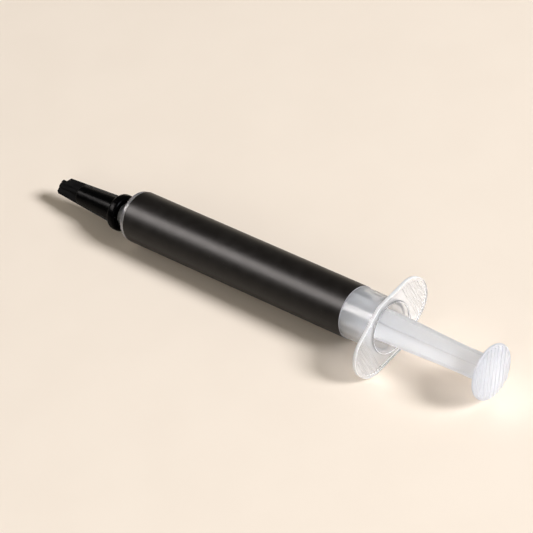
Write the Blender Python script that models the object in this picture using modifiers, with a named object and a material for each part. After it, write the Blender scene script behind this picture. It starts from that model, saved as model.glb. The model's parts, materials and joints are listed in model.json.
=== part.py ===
"""A thermal paste syringe that lies on a table.

Clear barrel with a finger flange, black label, black tip cap and a plunger that is drawn out a little way.
Every piece is modelled along the syringe's own axis: local Z runs along the barrel towards the thumb disc,
and Z = 0 is the label's rear edge. One empty, syringe_axis, then lays the whole syringe down as it comes to
rest: on one straight side of the finger flange and on the front edge of the label. Units: metres, world Z up.
"""
import math

import bmesh
import bpy
from mathutils import Matrix, Vector

MM = 0.001

# Barrel: a tube with a closed front
BARREL_RADIUS = 5.15 * MM
BARREL_WALL = 0.8 * MM
BARREL_LENGTH = 66.5 * MM
SHOULDER_ROUND = 0.4 * MM
SHOULDER_CONE = 0.5 * MM
FRONT_WALL = 1.2 * MM
BORE_CONE_LENGTH = 0.8 * MM
BORE_CONE_RADIUS = 1.9 * MM

# Finger flange: a rounded lozenge at the rear of the barrel
FLANGE_THICKNESS = 0.8 * MM
FLANGE_EAR_REACH = 5.95 * MM
FLANGE_EAR_RADIUS = 5.2 * MM
FLANGE_CORNER_REACH = 1.5 * MM
FLANGE_CORNER_RADIUS = 3.95 * MM
FLANGE_EDGE_ROUND = 0.12 * MM
FLANGE_ROOT_FILLET = 0.5 * MM
FLANGE_RIM_WIDTH = 0.7 * MM
FLANGE_POCKET_DEPTH = 0.18 * MM
MOUTH_WALL = 0.15 * MM
MOUTH_CHAMFER_DEPTH = 1.0 * MM
MOUTH_COLLAR_WIDTH = 0.35 * MM
GRIP_RIB_COUNT = 7
GRIP_RIB_PITCH = 0.6 * MM
GRIP_RIB_WIDTH = 0.25 * MM
BEAD_DEPTH = 3.5 * MM
BEAD_HEIGHT = 0.15 * MM
BEAD_LENGTH = 0.6 * MM

# Nozzle: a male slip taper, a little off the barrel's centre
NOZZLE_OFFSET = 0.73 * MM
NOZZLE_OFFSET_ANGLE = math.radians(305)
NOZZLE_LENGTH = 9.8 * MM
NOZZLE_TIP_RADIUS = 1.98 * MM
NOZZLE_TAPER = 0.06
NOZZLE_BORE_RADIUS = 0.95 * MM
NOZZLE_ROOT_RADIUS = 2.9 * MM
NOZZLE_ROOT_LENGTH = 0.5 * MM
NOZZLE_TIP_CHAMFER = 0.2 * MM

# Label: a black sleeve round the barrel
LABEL_FRONT_MARGIN = 1.1 * MM
LABEL_REAR_MARGIN = 8.5 * MM
LABEL_THICKNESS = 0.12 * MM
LABEL_CLEARANCE = 0.03 * MM

# Paste: what is left in the barrel
PASTE_LENGTH = 19.9 * MM
PASTE_CLEARANCE = 0.07 * MM
PASTE_END_GAP = 0.1 * MM

# Piston: rubber, with two sealing ribs and a socket for the rod's head
PISTON_LENGTH = 7.6 * MM
PISTON_RUNNING_CLEARANCE = 0.03 * MM
PISTON_RIB_HEIGHT = 0.4 * MM
PISTON_RIB_WIDTH = 0.9 * MM
PISTON_RIB_SLOPE = 0.45 * MM
PISTON_FRONT_CONE = 0.8 * MM
PISTON_FRONT_FLAT_RADIUS = 1.5 * MM
PISTON_WALL = 1.17 * MM
HEAD_SEAT_GAP = 0.3 * MM

# Plunger rod: a cross-shaped rod with a head at the front and a thumb disc at the rear; the fins' tapers are
# placed by their distance from the thumb disc
ROD_LENGTH = 61.3 * MM
ROD_PLATE_THICKNESS = 1.2 * MM
ROD_PLATE_CLEARANCE = 0.15 * MM
ROD_PLATE_GAP = 0.3 * MM
NECK_RADIUS = 1.45 * MM
NECK_LENGTH = 1.9 * MM
HEAD_LENGTH = 2.6 * MM
HEAD_CONE_LENGTH = 1.7 * MM
FIN_THICKNESS = 0.8 * MM
FIN_CLEARANCE = 0.2 * MM
FIN_MID_TAPER = 0.2 * MM
FIN_WAIST_TAPER = 0.66 * MM
FIN_END_TAPER = 0.74 * MM
FIN_TAPER_START = 24.0 * MM
FIN_TAPER_MID = 19.0 * MM
FIN_WAIST = 10.0 * MM
FIN_TURN = math.radians(171)
THUMB_DISC_OVERHANG = 0.34 * MM
THUMB_DISC_EDGE = 0.5 * MM
THUMB_DISC_CHAMFER = 0.17 * MM
THUMB_DISC_BACK_CONE = 0.45 * MM
THUMB_DISC_DOME = 0.12 * MM
THUMB_DISC_DOME_MID_RADIUS = 3.0 * MM
THUMB_DISC_DOME_MID_HEIGHT = 0.08 * MM
THUMB_RIDGE_COUNT = 9
THUMB_RIDGE_PITCH = 1.1 * MM
THUMB_RIDGE_WIDTH = 0.42 * MM
THUMB_RIDGE_HEIGHT = 0.2 * MM
THUMB_RIDGE_MARGIN = 0.35 * MM
THUMB_RIDGE_TURN = math.radians(155.6)

# Tip cap: a hollow hub that slips over the nozzle, a skirt behind it and a winged grip in front
CAP_CLEARANCE = 0.05 * MM
CAP_SKIRT_GAP = 2.2 * MM
CAP_SKIRT_LENGTH = 2.2 * MM
CAP_SKIRT_RADIUS = 3.8 * MM
CAP_SKIRT_ROUND = 0.75 * MM
CAP_SOCKET_END_GAP = 0.4 * MM
CAP_MOUTH_FLARE = 0.35 * MM
CAP_HUB_REAR_RADIUS = 2.62 * MM
CAP_HUB_FRONT_RADIUS = 2.05 * MM
CAP_HUB_FILLET = 0.4 * MM
CAP_FRONT_WALL = 5.3 * MM
CAP_HUB_DOME = 0.9 * MM
CAP_GRIP_LENGTH = 5.7 * MM
CAP_WING_THICKNESS = 0.9 * MM
CAP_WING_TIP_RADIUS = 1.3 * MM
CAP_WING_LOW_TIP_RADIUS = 1.72 * MM
CAP_WING_STEP_RADIUS = 2.15 * MM
CAP_WING_STEP_DISTANCE = 1.2 * MM
CAP_WING_STEP_LENGTH = 0.8 * MM
CAP_WING_REAR_RADIUS = 2.95 * MM
CAP_TIP_CHAMFER = 0.45 * MM
CAP_CROSS_RADIUS = 1.25 * MM
CAP_CROSS_TIP_RADIUS = 0.95 * MM
CAP_TURN = math.radians(122)

# Facets
BARREL_STEPS = 72
SMALL_STEPS = 48
ARC_STEPS = 64
DOME_STEPS = 4
SHARP_ANGLE = math.radians(35)
BEVEL_ANGLE = math.radians(60)
FLAT_ANGLE = 0.001
MERGE = 0.00001

# Radii that follow from the barrel's
BORE_RADIUS = BARREL_RADIUS - BARREL_WALL
MOUTH_RADIUS = BARREL_RADIUS - MOUTH_WALL
LABEL_RADIUS = BARREL_RADIUS + LABEL_CLEARANCE + LABEL_THICKNESS
FLANGE_EAR_DISTANCE = BARREL_RADIUS + FLANGE_EAR_REACH - FLANGE_EAR_RADIUS
FLANGE_CORNER_DISTANCE = BARREL_RADIUS + FLANGE_CORNER_REACH - FLANGE_CORNER_RADIUS
PISTON_RADIUS = BORE_RADIUS - PISTON_RUNNING_CLEARANCE
PISTON_WAIST_RADIUS = PISTON_RADIUS - PISTON_RIB_HEIGHT
HEAD_RADIUS = PISTON_WAIST_RADIUS - PISTON_WALL - HEAD_SEAT_GAP
ROD_PLATE_RADIUS = BORE_RADIUS - BEAD_HEIGHT - ROD_PLATE_CLEARANCE
FIN_RADIUS = BORE_RADIUS - BEAD_HEIGHT - FIN_CLEARANCE
FIN_MID_RADIUS = FIN_RADIUS - FIN_MID_TAPER
FIN_WAIST_RADIUS = FIN_RADIUS - FIN_WAIST_TAPER
FIN_END_RADIUS = FIN_RADIUS - FIN_END_TAPER
THUMB_DISC_RADIUS = BARREL_RADIUS + THUMB_DISC_OVERHANG

# Places that follow from the sizes above
FLANGE_REAR_Z = LABEL_REAR_MARGIN
FLANGE_FRONT_Z = FLANGE_REAR_Z - FLANGE_THICKNESS
BEAD_Z = FLANGE_REAR_Z - BEAD_DEPTH
BARREL_FRONT_Z = FLANGE_REAR_Z - BARREL_LENGTH
LABEL_LENGTH = BARREL_LENGTH - LABEL_REAR_MARGIN - LABEL_FRONT_MARGIN
SHOULDER_Z = BARREL_FRONT_Z - SHOULDER_CONE
BORE_FLOOR_Z = SHOULDER_Z + FRONT_WALL
NOZZLE_TIP_Z = SHOULDER_Z - NOZZLE_LENGTH
NOZZLE_ROOT_Z = SHOULDER_Z - NOZZLE_ROOT_LENGTH
NOZZLE_TAPER_LENGTH = NOZZLE_LENGTH - NOZZLE_ROOT_LENGTH
NOZZLE_NECK_RADIUS = NOZZLE_TIP_RADIUS + NOZZLE_TAPER * NOZZLE_TAPER_LENGTH / 2
PASTE_FRONT_Z = BORE_FLOOR_Z + PASTE_END_GAP
PASTE_REAR_Z = PASTE_FRONT_Z + PASTE_LENGTH
PISTON_FRONT_Z = PASTE_REAR_Z + PASTE_END_GAP
PISTON_REAR_Z = PISTON_FRONT_Z + PISTON_LENGTH
ROD_PLATE_FRONT_Z = PISTON_REAR_Z + ROD_PLATE_GAP
ROD_PLATE_REAR_Z = ROD_PLATE_FRONT_Z + ROD_PLATE_THICKNESS
HEAD_REAR_Z = ROD_PLATE_FRONT_Z - ROD_PLATE_GAP - NECK_LENGTH
HEAD_FRONT_Z = HEAD_REAR_Z - HEAD_LENGTH
THUMB_DISC_Z = ROD_PLATE_FRONT_Z + ROD_LENGTH
THUMB_DISC_BACK_Z = THUMB_DISC_Z - THUMB_DISC_EDGE
THUMB_TOP_Z = THUMB_DISC_Z + THUMB_DISC_DOME + THUMB_RIDGE_HEIGHT
CAP_REAR_Z = SHOULDER_Z - CAP_SKIRT_GAP
CAP_SKIRT_FRONT_Z = CAP_REAR_Z - CAP_SKIRT_LENGTH
CAP_SOCKET_FLOOR_Z = NOZZLE_TIP_Z - CAP_SOCKET_END_GAP
CAP_HUB_FRONT_Z = CAP_SOCKET_FLOOR_Z - CAP_FRONT_WALL
CAP_TIP_Z = CAP_HUB_FRONT_Z - CAP_GRIP_LENGTH
CAP_STEP_Z = CAP_TIP_Z + CAP_WING_STEP_DISTANCE
NOZZLE_CENTRE = Vector((math.cos(NOZZLE_OFFSET_ANGLE), math.sin(NOZZLE_OFFSET_ANGLE), 0.0)) * NOZZLE_OFFSET


def flange_flank_angle():
    """Angle between the flange's long axis and the straight sides that touch its ear and corner circles."""
    reach = math.hypot(FLANGE_EAR_DISTANCE, FLANGE_CORNER_DISTANCE)
    lean = math.atan2(FLANGE_CORNER_DISTANCE, FLANGE_EAR_DISTANCE)
    return lean + math.asin((FLANGE_CORNER_RADIUS - FLANGE_EAR_RADIUS) / reach)


FLANK_ANGLE = flange_flank_angle()
FLANK_HEIGHT = FLANGE_EAR_RADIUS + FLANGE_EAR_DISTANCE * math.sin(FLANK_ANGLE)
# Local angles run from down (local +X) towards the far side (local +Y): a level long axis lies at 90 degrees
FLANGE_TURN = math.radians(90) + FLANK_ANGLE
REST_SPAN = FLANGE_FRONT_Z + FLANGE_EDGE_ROUND + LABEL_LENGTH
REST_TILT = math.atan2(FLANK_HEIGHT - LABEL_RADIUS, REST_SPAN)
REST_HEIGHT = LABEL_LENGTH * math.sin(REST_TILT) + LABEL_RADIUS * math.cos(REST_TILT)
# The middle of the whole syringe lies over the world origin
REST_MIDDLE = ((CAP_TIP_Z + THUMB_TOP_Z) * math.cos(REST_TILT) + THUMB_DISC_RADIUS * math.sin(REST_TILT)) / 2


def clear_scene():
    """Remove every object, so that the script starts from nothing."""
    for obj in list(bpy.data.objects):
        bpy.data.objects.remove(obj, do_unlink=True)


def collection(name):
    """A new collection linked to the scene."""
    group = bpy.data.collections.new(name)
    bpy.context.scene.collection.children.link(group)
    return group


def material(name, colour, roughness, transmission=0.0):
    """A Principled material in one colour."""
    mat = bpy.data.materials.new(name)
    mat.use_nodes = True
    shader = mat.node_tree.nodes["Principled BSDF"]
    shader.inputs["Base Color"].default_value = (*colour, 1.0)
    shader.inputs["Roughness"].default_value = roughness
    shader.inputs["Metallic"].default_value = 0.0
    shader.inputs["Transmission Weight"].default_value = transmission
    mat.diffuse_color = (*colour, 1.0)
    return mat


def mesh_object(name, bm, group):
    """An object made from a bmesh, which is freed."""
    mesh = bpy.data.meshes.new(name)
    bm.to_mesh(mesh)
    bm.free()
    obj = bpy.data.objects.new(name, mesh)
    group.objects.link(obj)
    return obj


def turned(name, profile, steps, group, closed=False):
    """A solid turned about local Z. The profile runs from the axis down the outer side to the axis again."""
    bm = bmesh.new()
    points = [bm.verts.new((radius, 0.0, z)) for radius, z in profile]
    for first, second in zip(points, points[1:]):
        bm.edges.new((first, second))
    if closed:
        bm.edges.new((points[-1], points[0]))
    obj = mesh_object(name, bm, group)
    screw = obj.modifiers.new("turn", "SCREW")
    screw.axis = "Z"
    screw.angle = math.tau
    screw.steps = steps
    screw.render_steps = steps
    screw.use_merge_vertices = True
    screw.merge_threshold = MERGE
    screw.use_smooth_shade = True
    return obj


def ring(name, inner, outer, low, high, steps, group):
    """A plain sleeve: the closed section of a tube turned about local Z."""
    corners = [(inner, low), (inner, high), (outer, high), (outer, low)]
    return turned(name, corners, steps, group, closed=True)


def arc_profile(centre_radius, centre_z, radius, start, end, count=5):
    """Points of a round stretch in a turned profile; the angles are measured from the radial direction."""
    return [(centre_radius + radius * math.cos(start + (end - start) * i / count),
             centre_z + radius * math.sin(start + (end - start) * i / count)) for i in range(count + 1)]


def hull_slab(name, discs, low, high, group):
    """A flat slab whose outline is the tightest belt round some discs, each given as (x, y, radius)."""
    bm = bmesh.new()
    for x, y, radius in discs:
        place = Matrix.Translation((x, y, (low + high) / 2))
        bmesh.ops.create_cone(bm, cap_ends=True, segments=ARC_STEPS, radius1=radius, radius2=radius,
                              depth=high - low, matrix=place)
    hull = bmesh.ops.convex_hull(bm, input=bm.verts)
    inside = [v for v in hull["geom_interior"] if isinstance(v, bmesh.types.BMVert)]
    bmesh.ops.delete(bm, geom=inside, context="VERTS")
    bmesh.ops.dissolve_limit(bm, angle_limit=FLAT_ANGLE, verts=bm.verts, edges=bm.edges)
    return mesh_object(name, bm, group)


def boxes(name, sizes, group):
    """Separate boxes in one mesh, each given as (centre, size)."""
    bm = bmesh.new()
    for centre, size in sizes:
        bmesh.ops.create_cube(bm, size=1.0, matrix=Matrix.Translation(centre) @ Matrix.Diagonal((*size, 1.0)))
    return mesh_object(name, bm, group)


def plate(name, outline, thickness, group):
    """A flat plate in the local XZ plane, from its outline of (x, z) points and its thickness along local Y."""
    bm = bmesh.new()
    face = bm.faces.new([bm.verts.new((x, -thickness / 2, z)) for x, z in outline])
    swept = bmesh.ops.extrude_face_region(bm, geom=[face])
    far_side = [v for v in swept["geom"] if isinstance(v, bmesh.types.BMVert)]
    bmesh.ops.translate(bm, vec=(0.0, thickness, 0.0), verts=far_side)
    bmesh.ops.recalc_face_normals(bm, faces=bm.faces)
    return mesh_object(name, bm, group)


def boolean(target, tool, operation):
    """Join or cut with an object that is itself left out of the part."""
    step = target.modifiers.new(f"{operation.lower()}_{tool.name}", "BOOLEAN")
    step.object = tool
    step.operation = operation
    step.solver = "EXACT"


def as_tool(obj, parent=None):
    """Mark an object as a cutter or a guide."""
    obj.hide_render = True
    obj.display_type = "WIRE"
    if parent is not None:
        obj.parent = parent
    return obj


def finish(obj, mat, parent):
    """Give a piece its material and its place, with smooth round faces."""
    obj.data.materials.append(mat)
    obj.parent = parent
    obj.data.shade_smooth()
    obj.data.set_sharp_from_angle(angle=SHARP_ANGLE)
    return obj


def barrel_outline():
    """Outer profile of the barrel's tube with its fillet under the flange and its rounded shoulder."""
    inside_flange = (FLANGE_REAR_Z + FLANGE_FRONT_Z) / 2
    fillet = arc_profile(BARREL_RADIUS + FLANGE_ROOT_FILLET, FLANGE_FRONT_Z - FLANGE_ROOT_FILLET,
                         FLANGE_ROOT_FILLET, math.radians(90), math.radians(180), 4)
    shoulder = arc_profile(BARREL_RADIUS - SHOULDER_ROUND, BARREL_FRONT_Z + SHOULDER_ROUND,
                           SHOULDER_ROUND, 0.0, math.radians(-90), 4)
    top = [(0.0, inside_flange), (BARREL_RADIUS + FLANGE_ROOT_FILLET, inside_flange)]
    face = [(NOZZLE_ROOT_RADIUS, SHOULDER_Z), (0.0, SHOULDER_Z)]
    return top + fillet + shoulder + face


def bore_outline():
    """Profile of the cut for mouth, retaining bead, bore and front cone."""
    beyond = MOUTH_CHAMFER_DEPTH
    slope = (MOUTH_RADIUS - BORE_RADIUS) / MOUTH_CHAMFER_DEPTH
    return [(0.0, FLANGE_REAR_Z + beyond),
            (MOUTH_RADIUS + slope * beyond, FLANGE_REAR_Z + beyond),
            (BORE_RADIUS, FLANGE_REAR_Z - MOUTH_CHAMFER_DEPTH),
            (BORE_RADIUS, BEAD_Z + BEAD_LENGTH / 2),
            (BORE_RADIUS - BEAD_HEIGHT, BEAD_Z),
            (BORE_RADIUS, BEAD_Z - BEAD_LENGTH / 2),
            (BORE_RADIUS, BORE_FLOOR_Z + BORE_CONE_LENGTH),
            (BORE_CONE_RADIUS, BORE_FLOOR_Z),
            (0.0, BORE_FLOOR_Z)]


def nozzle_outline():
    """Profile of the nozzle, from inside the front wall to the tip."""
    inside_wall = (SHOULDER_Z + BORE_FLOOR_Z) / 2
    return [(0.0, inside_wall),
            (NOZZLE_ROOT_RADIUS, inside_wall),
            (NOZZLE_ROOT_RADIUS, SHOULDER_Z),
            (NOZZLE_NECK_RADIUS, NOZZLE_ROOT_Z),
            (NOZZLE_TIP_RADIUS + NOZZLE_TAPER * NOZZLE_TIP_CHAMFER / 2, NOZZLE_TIP_Z + NOZZLE_TIP_CHAMFER),
            (NOZZLE_TIP_RADIUS - NOZZLE_TIP_CHAMFER, NOZZLE_TIP_Z),
            (0.0, NOZZLE_TIP_Z)]


def flange_discs(inset):
    """The two ear discs and two corner discs of the lozenge, drawn in by an inset."""
    ear = FLANGE_EAR_RADIUS - inset
    corner = FLANGE_CORNER_RADIUS - inset
    return [(FLANGE_EAR_DISTANCE, 0.0, ear), (-FLANGE_EAR_DISTANCE, 0.0, ear),
            (0.0, FLANGE_CORNER_DISTANCE, corner), (0.0, -FLANGE_CORNER_DISTANCE, corner)]


def build_flange(tools, axis):
    """The lozenge with rounded edges; a shallow pocket in its rear face leaves rim, collar and ribs."""
    blank = as_tool(hull_slab("flange_blank", flange_discs(0.0), FLANGE_FRONT_Z, FLANGE_REAR_Z, tools), axis)
    blank.rotation_euler = (0.0, 0.0, FLANGE_TURN)
    bevel = blank.modifiers.new("round_edges", "BEVEL")
    bevel.width = FLANGE_EDGE_ROUND
    bevel.segments = 2
    bevel.limit_method = "ANGLE"
    bevel.angle_limit = BEVEL_ANGLE

    pocket_floor = FLANGE_REAR_Z - FLANGE_POCKET_DEPTH
    above = FLANGE_REAR_Z + FLANGE_THICKNESS
    pocket_discs = flange_discs(FLANGE_RIM_WIDTH)
    pocket = as_tool(hull_slab("flange_pocket", pocket_discs, pocket_floor, above, tools), axis)
    pocket.rotation_euler = blank.rotation_euler
    collar_radius = MOUTH_RADIUS + MOUTH_COLLAR_WIDTH
    below = FLANGE_FRONT_Z
    beyond = above + FLANGE_THICKNESS
    collar_shape = [(0.0, beyond), (collar_radius, beyond), (collar_radius, below), (0.0, below)]
    collar = as_tool(turned("mouth_collar", collar_shape, BARREL_STEPS, tools), axis)
    boolean(pocket, collar, "DIFFERENCE")

    first = FLANGE_EAR_DISTANCE + FLANGE_EAR_RADIUS - FLANGE_RIM_WIDTH - GRIP_RIB_PITCH
    places = [side * (first - i * GRIP_RIB_PITCH) for side in (-1, 1) for i in range(GRIP_RIB_COUNT)]
    rib_size = (GRIP_RIB_WIDTH, 2 * FLANGE_EAR_RADIUS, 4 * FLANGE_THICKNESS)
    ribs = as_tool(boxes("grip_ribs", [((x, 0.0, FLANGE_REAR_Z), rib_size) for x in places], tools), axis)
    ribs.rotation_euler = blank.rotation_euler
    boolean(pocket, ribs, "DIFFERENCE")
    boolean(blank, pocket, "DIFFERENCE")
    return blank


def build_barrel(part, tools, axis, clear):
    """One clear moulding: tube, shoulder, nozzle and finger flange."""
    barrel = turned("barrel", barrel_outline(), BARREL_STEPS, part)
    flange = build_flange(tools, axis)
    nozzle = as_tool(turned("nozzle_blank", nozzle_outline(), SMALL_STEPS, tools), axis)
    nozzle.location = NOZZLE_CENTRE
    bore = as_tool(turned("bore_cut", bore_outline(), BARREL_STEPS, tools), axis)
    channel_shape = [(0.0, BORE_FLOOR_Z + FRONT_WALL), (NOZZLE_BORE_RADIUS, BORE_FLOOR_Z + FRONT_WALL),
                     (NOZZLE_BORE_RADIUS, NOZZLE_TIP_Z - FRONT_WALL), (0.0, NOZZLE_TIP_Z - FRONT_WALL)]
    channel = as_tool(turned("channel_cut", channel_shape, SMALL_STEPS, tools), axis)
    channel.location = NOZZLE_CENTRE
    boolean(barrel, flange, "UNION")
    boolean(barrel, nozzle, "UNION")
    boolean(barrel, bore, "DIFFERENCE")
    boolean(barrel, channel, "DIFFERENCE")
    return finish(barrel, clear, axis)


def build_label(part, axis, black):
    """The label, wrapped right round the barrel from its shoulder to short of the flange."""
    inner = BARREL_RADIUS + LABEL_CLEARANCE
    label = ring("label", inner, LABEL_RADIUS, -LABEL_LENGTH, 0.0, BARREL_STEPS, part)
    return finish(label, black, axis)


def build_paste(part, axis, grey):
    """The column of paste between the barrel's front wall and the piston."""
    radius = BORE_RADIUS - PASTE_CLEARANCE
    shape = [(0.0, PASTE_REAR_Z), (radius, PASTE_REAR_Z), (radius, PASTE_FRONT_Z + BORE_CONE_LENGTH),
             (BORE_CONE_RADIUS, PASTE_FRONT_Z), (0.0, PASTE_FRONT_Z)]
    return finish(turned("paste", shape, BARREL_STEPS, part), grey, axis)


def build_piston(part, axis, rubber):
    """The rubber piston, moulded over the head of the rod."""
    socket_rear = HEAD_REAR_Z + HEAD_SEAT_GAP
    socket_front = HEAD_FRONT_Z - HEAD_SEAT_GAP
    head = HEAD_RADIUS + HEAD_SEAT_GAP
    neck = NECK_RADIUS + HEAD_SEAT_GAP
    rear_rib = PISTON_REAR_Z - PISTON_RIB_SLOPE
    front_rib = PISTON_FRONT_Z + PISTON_FRONT_CONE + PISTON_RIB_SLOPE
    shape = [(0.0, socket_front), (head, socket_front), (head, socket_rear), (neck, socket_rear),
             (neck, PISTON_REAR_Z), (PISTON_WAIST_RADIUS, PISTON_REAR_Z),
             (PISTON_RADIUS, rear_rib), (PISTON_RADIUS, rear_rib - PISTON_RIB_WIDTH),
             (PISTON_WAIST_RADIUS, rear_rib - PISTON_RIB_WIDTH - PISTON_RIB_SLOPE),
             (PISTON_WAIST_RADIUS, front_rib + PISTON_RIB_WIDTH + PISTON_RIB_SLOPE),
             (PISTON_RADIUS, front_rib + PISTON_RIB_WIDTH), (PISTON_RADIUS, front_rib),
             (PISTON_WAIST_RADIUS, front_rib - PISTON_RIB_SLOPE),
             (PISTON_FRONT_FLAT_RADIUS, PISTON_FRONT_Z), (0.0, PISTON_FRONT_Z)]
    return finish(turned("piston", shape, BARREL_STEPS, part), rubber, axis)


def fin_outline():
    """Outline of one full-width fin, from the front plate to the thumb disc."""
    start = ROD_PLATE_REAR_Z - ROD_PLATE_THICKNESS / 2
    end = THUMB_DISC_Z - THUMB_DISC_EDGE / 2
    side = [(FIN_RADIUS, start),
            (FIN_RADIUS, THUMB_DISC_Z - FIN_TAPER_START),
            (FIN_MID_RADIUS, THUMB_DISC_Z - FIN_TAPER_MID),
            (FIN_WAIST_RADIUS, THUMB_DISC_Z - FIN_WAIST),
            (FIN_END_RADIUS, end)]
    return side + [(-x, z) for x, z in reversed(side)]


def build_thumb_ridges(tools, axis):
    """Parallel ridges across the thumb disc, each as long as the disc is wide there."""
    reach = THUMB_DISC_RADIUS - THUMB_RIDGE_MARGIN
    bottom = THUMB_DISC_Z - THUMB_DISC_EDGE / 2
    middle = (THUMB_TOP_Z + bottom) / 2
    sizes = []
    for i in range(THUMB_RIDGE_COUNT):
        y = (i - (THUMB_RIDGE_COUNT - 1) / 2) * THUMB_RIDGE_PITCH
        outer_side = abs(y) + THUMB_RIDGE_WIDTH / 2
        if outer_side < reach:
            length = 2 * math.sqrt(reach * reach - outer_side * outer_side)
            sizes.append(((0.0, y, middle), (length, THUMB_RIDGE_WIDTH, THUMB_TOP_Z - bottom)))
    ridges = as_tool(boxes("thumb_ridges", sizes, tools), axis)
    ridges.rotation_euler = (0.0, 0.0, THUMB_RIDGE_TURN)
    return ridges


def build_plunger_rod(part, tools, axis, clear):
    """One moulding: head and neck, front plate, crossed fins and the ridged thumb disc."""
    front_shape = [(0.0, ROD_PLATE_REAR_Z), (ROD_PLATE_RADIUS, ROD_PLATE_REAR_Z),
                   (ROD_PLATE_RADIUS, ROD_PLATE_FRONT_Z), (NECK_RADIUS, ROD_PLATE_FRONT_Z),
                   (NECK_RADIUS, HEAD_REAR_Z), (HEAD_RADIUS, HEAD_REAR_Z),
                   (HEAD_RADIUS, HEAD_FRONT_Z + HEAD_CONE_LENGTH), (NECK_RADIUS, HEAD_FRONT_Z),
                   (0.0, HEAD_FRONT_Z)]
    rod = turned("plunger_rod", front_shape, SMALL_STEPS, part)
    for name, turn in (("fin_pair_a", FIN_TURN), ("fin_pair_b", FIN_TURN + math.radians(90))):
        fin = as_tool(plate(name, fin_outline(), FIN_THICKNESS, tools), axis)
        fin.rotation_euler = (0.0, 0.0, turn)
        boolean(rod, fin, "UNION")
    disc_shape = [(0.0, THUMB_DISC_Z + THUMB_DISC_DOME),
                  (THUMB_DISC_DOME_MID_RADIUS, THUMB_DISC_Z + THUMB_DISC_DOME_MID_HEIGHT),
                  (THUMB_DISC_RADIUS - THUMB_DISC_CHAMFER, THUMB_DISC_Z),
                  (THUMB_DISC_RADIUS, THUMB_DISC_Z - THUMB_DISC_CHAMFER),
                  (THUMB_DISC_RADIUS, THUMB_DISC_BACK_Z + THUMB_DISC_CHAMFER),
                  (THUMB_DISC_RADIUS - THUMB_DISC_CHAMFER, THUMB_DISC_BACK_Z),
                  (FIN_END_RADIUS, THUMB_DISC_BACK_Z - THUMB_DISC_BACK_CONE / 2),
                  (0.0, THUMB_DISC_BACK_Z - THUMB_DISC_BACK_CONE)]
    disc = as_tool(turned("thumb_disc", disc_shape, BARREL_STEPS, tools), axis)
    boolean(rod, disc, "UNION")
    boolean(rod, build_thumb_ridges(tools, axis), "UNION")
    return finish(rod, clear, axis)


def cap_outline():
    """Profile of the cap's socket, skirt, hub and domed front."""
    def socket(z):
        """Radius of the socket at a place along the nozzle."""
        return NOZZLE_TIP_RADIUS + NOZZLE_TAPER * (z - NOZZLE_TIP_Z) / 2 + CAP_CLEARANCE

    flare_z = CAP_REAR_Z - CAP_MOUTH_FLARE
    rear_round_z = CAP_REAR_Z - CAP_SKIRT_ROUND
    front_round_z = CAP_SKIRT_FRONT_Z + CAP_SKIRT_ROUND
    round_radius = CAP_SKIRT_RADIUS - CAP_SKIRT_ROUND
    shape = [(0.0, CAP_SOCKET_FLOOR_Z),
             (socket(CAP_SOCKET_FLOOR_Z), CAP_SOCKET_FLOOR_Z),
             (socket(flare_z), flare_z),
             (socket(CAP_REAR_Z) + CAP_MOUTH_FLARE, CAP_REAR_Z)]
    shape += arc_profile(round_radius, rear_round_z, CAP_SKIRT_ROUND, math.radians(90), 0.0, 4)
    shape += arc_profile(round_radius, front_round_z, CAP_SKIRT_ROUND, 0.0, math.radians(-90), 4)
    shape += [(CAP_HUB_REAR_RADIUS, CAP_SKIRT_FRONT_Z - CAP_HUB_FILLET)]
    dome_z = CAP_HUB_FRONT_Z + CAP_HUB_DOME
    shape += [(CAP_HUB_FRONT_RADIUS * math.cos(math.pi / 2 * i / DOME_STEPS),
               dome_z - CAP_HUB_DOME * math.sin(math.pi / 2 * i / DOME_STEPS)) for i in range(DOME_STEPS)]
    return shape + [(0.0, CAP_HUB_FRONT_Z)]


def wing_outline():
    """Outline of the long wings: one with a step near the tip, the other straight."""
    rear = (CAP_REAR_Z + CAP_SKIRT_FRONT_Z) / 2
    return [(CAP_WING_TIP_RADIUS - CAP_TIP_CHAMFER, CAP_TIP_Z),
            (CAP_WING_TIP_RADIUS, CAP_TIP_Z + CAP_TIP_CHAMFER / 2),
            (CAP_WING_TIP_RADIUS, CAP_STEP_Z),
            (CAP_WING_STEP_RADIUS, CAP_STEP_Z + CAP_WING_STEP_LENGTH),
            (CAP_WING_REAR_RADIUS, rear),
            (-CAP_WING_REAR_RADIUS, rear),
            (-CAP_WING_LOW_TIP_RADIUS, CAP_TIP_Z + CAP_TIP_CHAMFER),
            (CAP_TIP_CHAMFER - CAP_WING_LOW_TIP_RADIUS, CAP_TIP_Z)]


def cross_outline():
    """Outline of the short fin pair across the wings, in front of the hub."""
    rear = CAP_HUB_FRONT_Z + CAP_HUB_DOME
    side = [(CAP_CROSS_TIP_RADIUS - CAP_TIP_CHAMFER, CAP_TIP_Z),
            (CAP_CROSS_TIP_RADIUS, CAP_TIP_Z + CAP_TIP_CHAMFER),
            (CAP_CROSS_RADIUS, CAP_STEP_Z),
            (CAP_CROSS_RADIUS, rear)]
    return side + [(-x, z) for x, z in reversed(side)]


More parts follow.
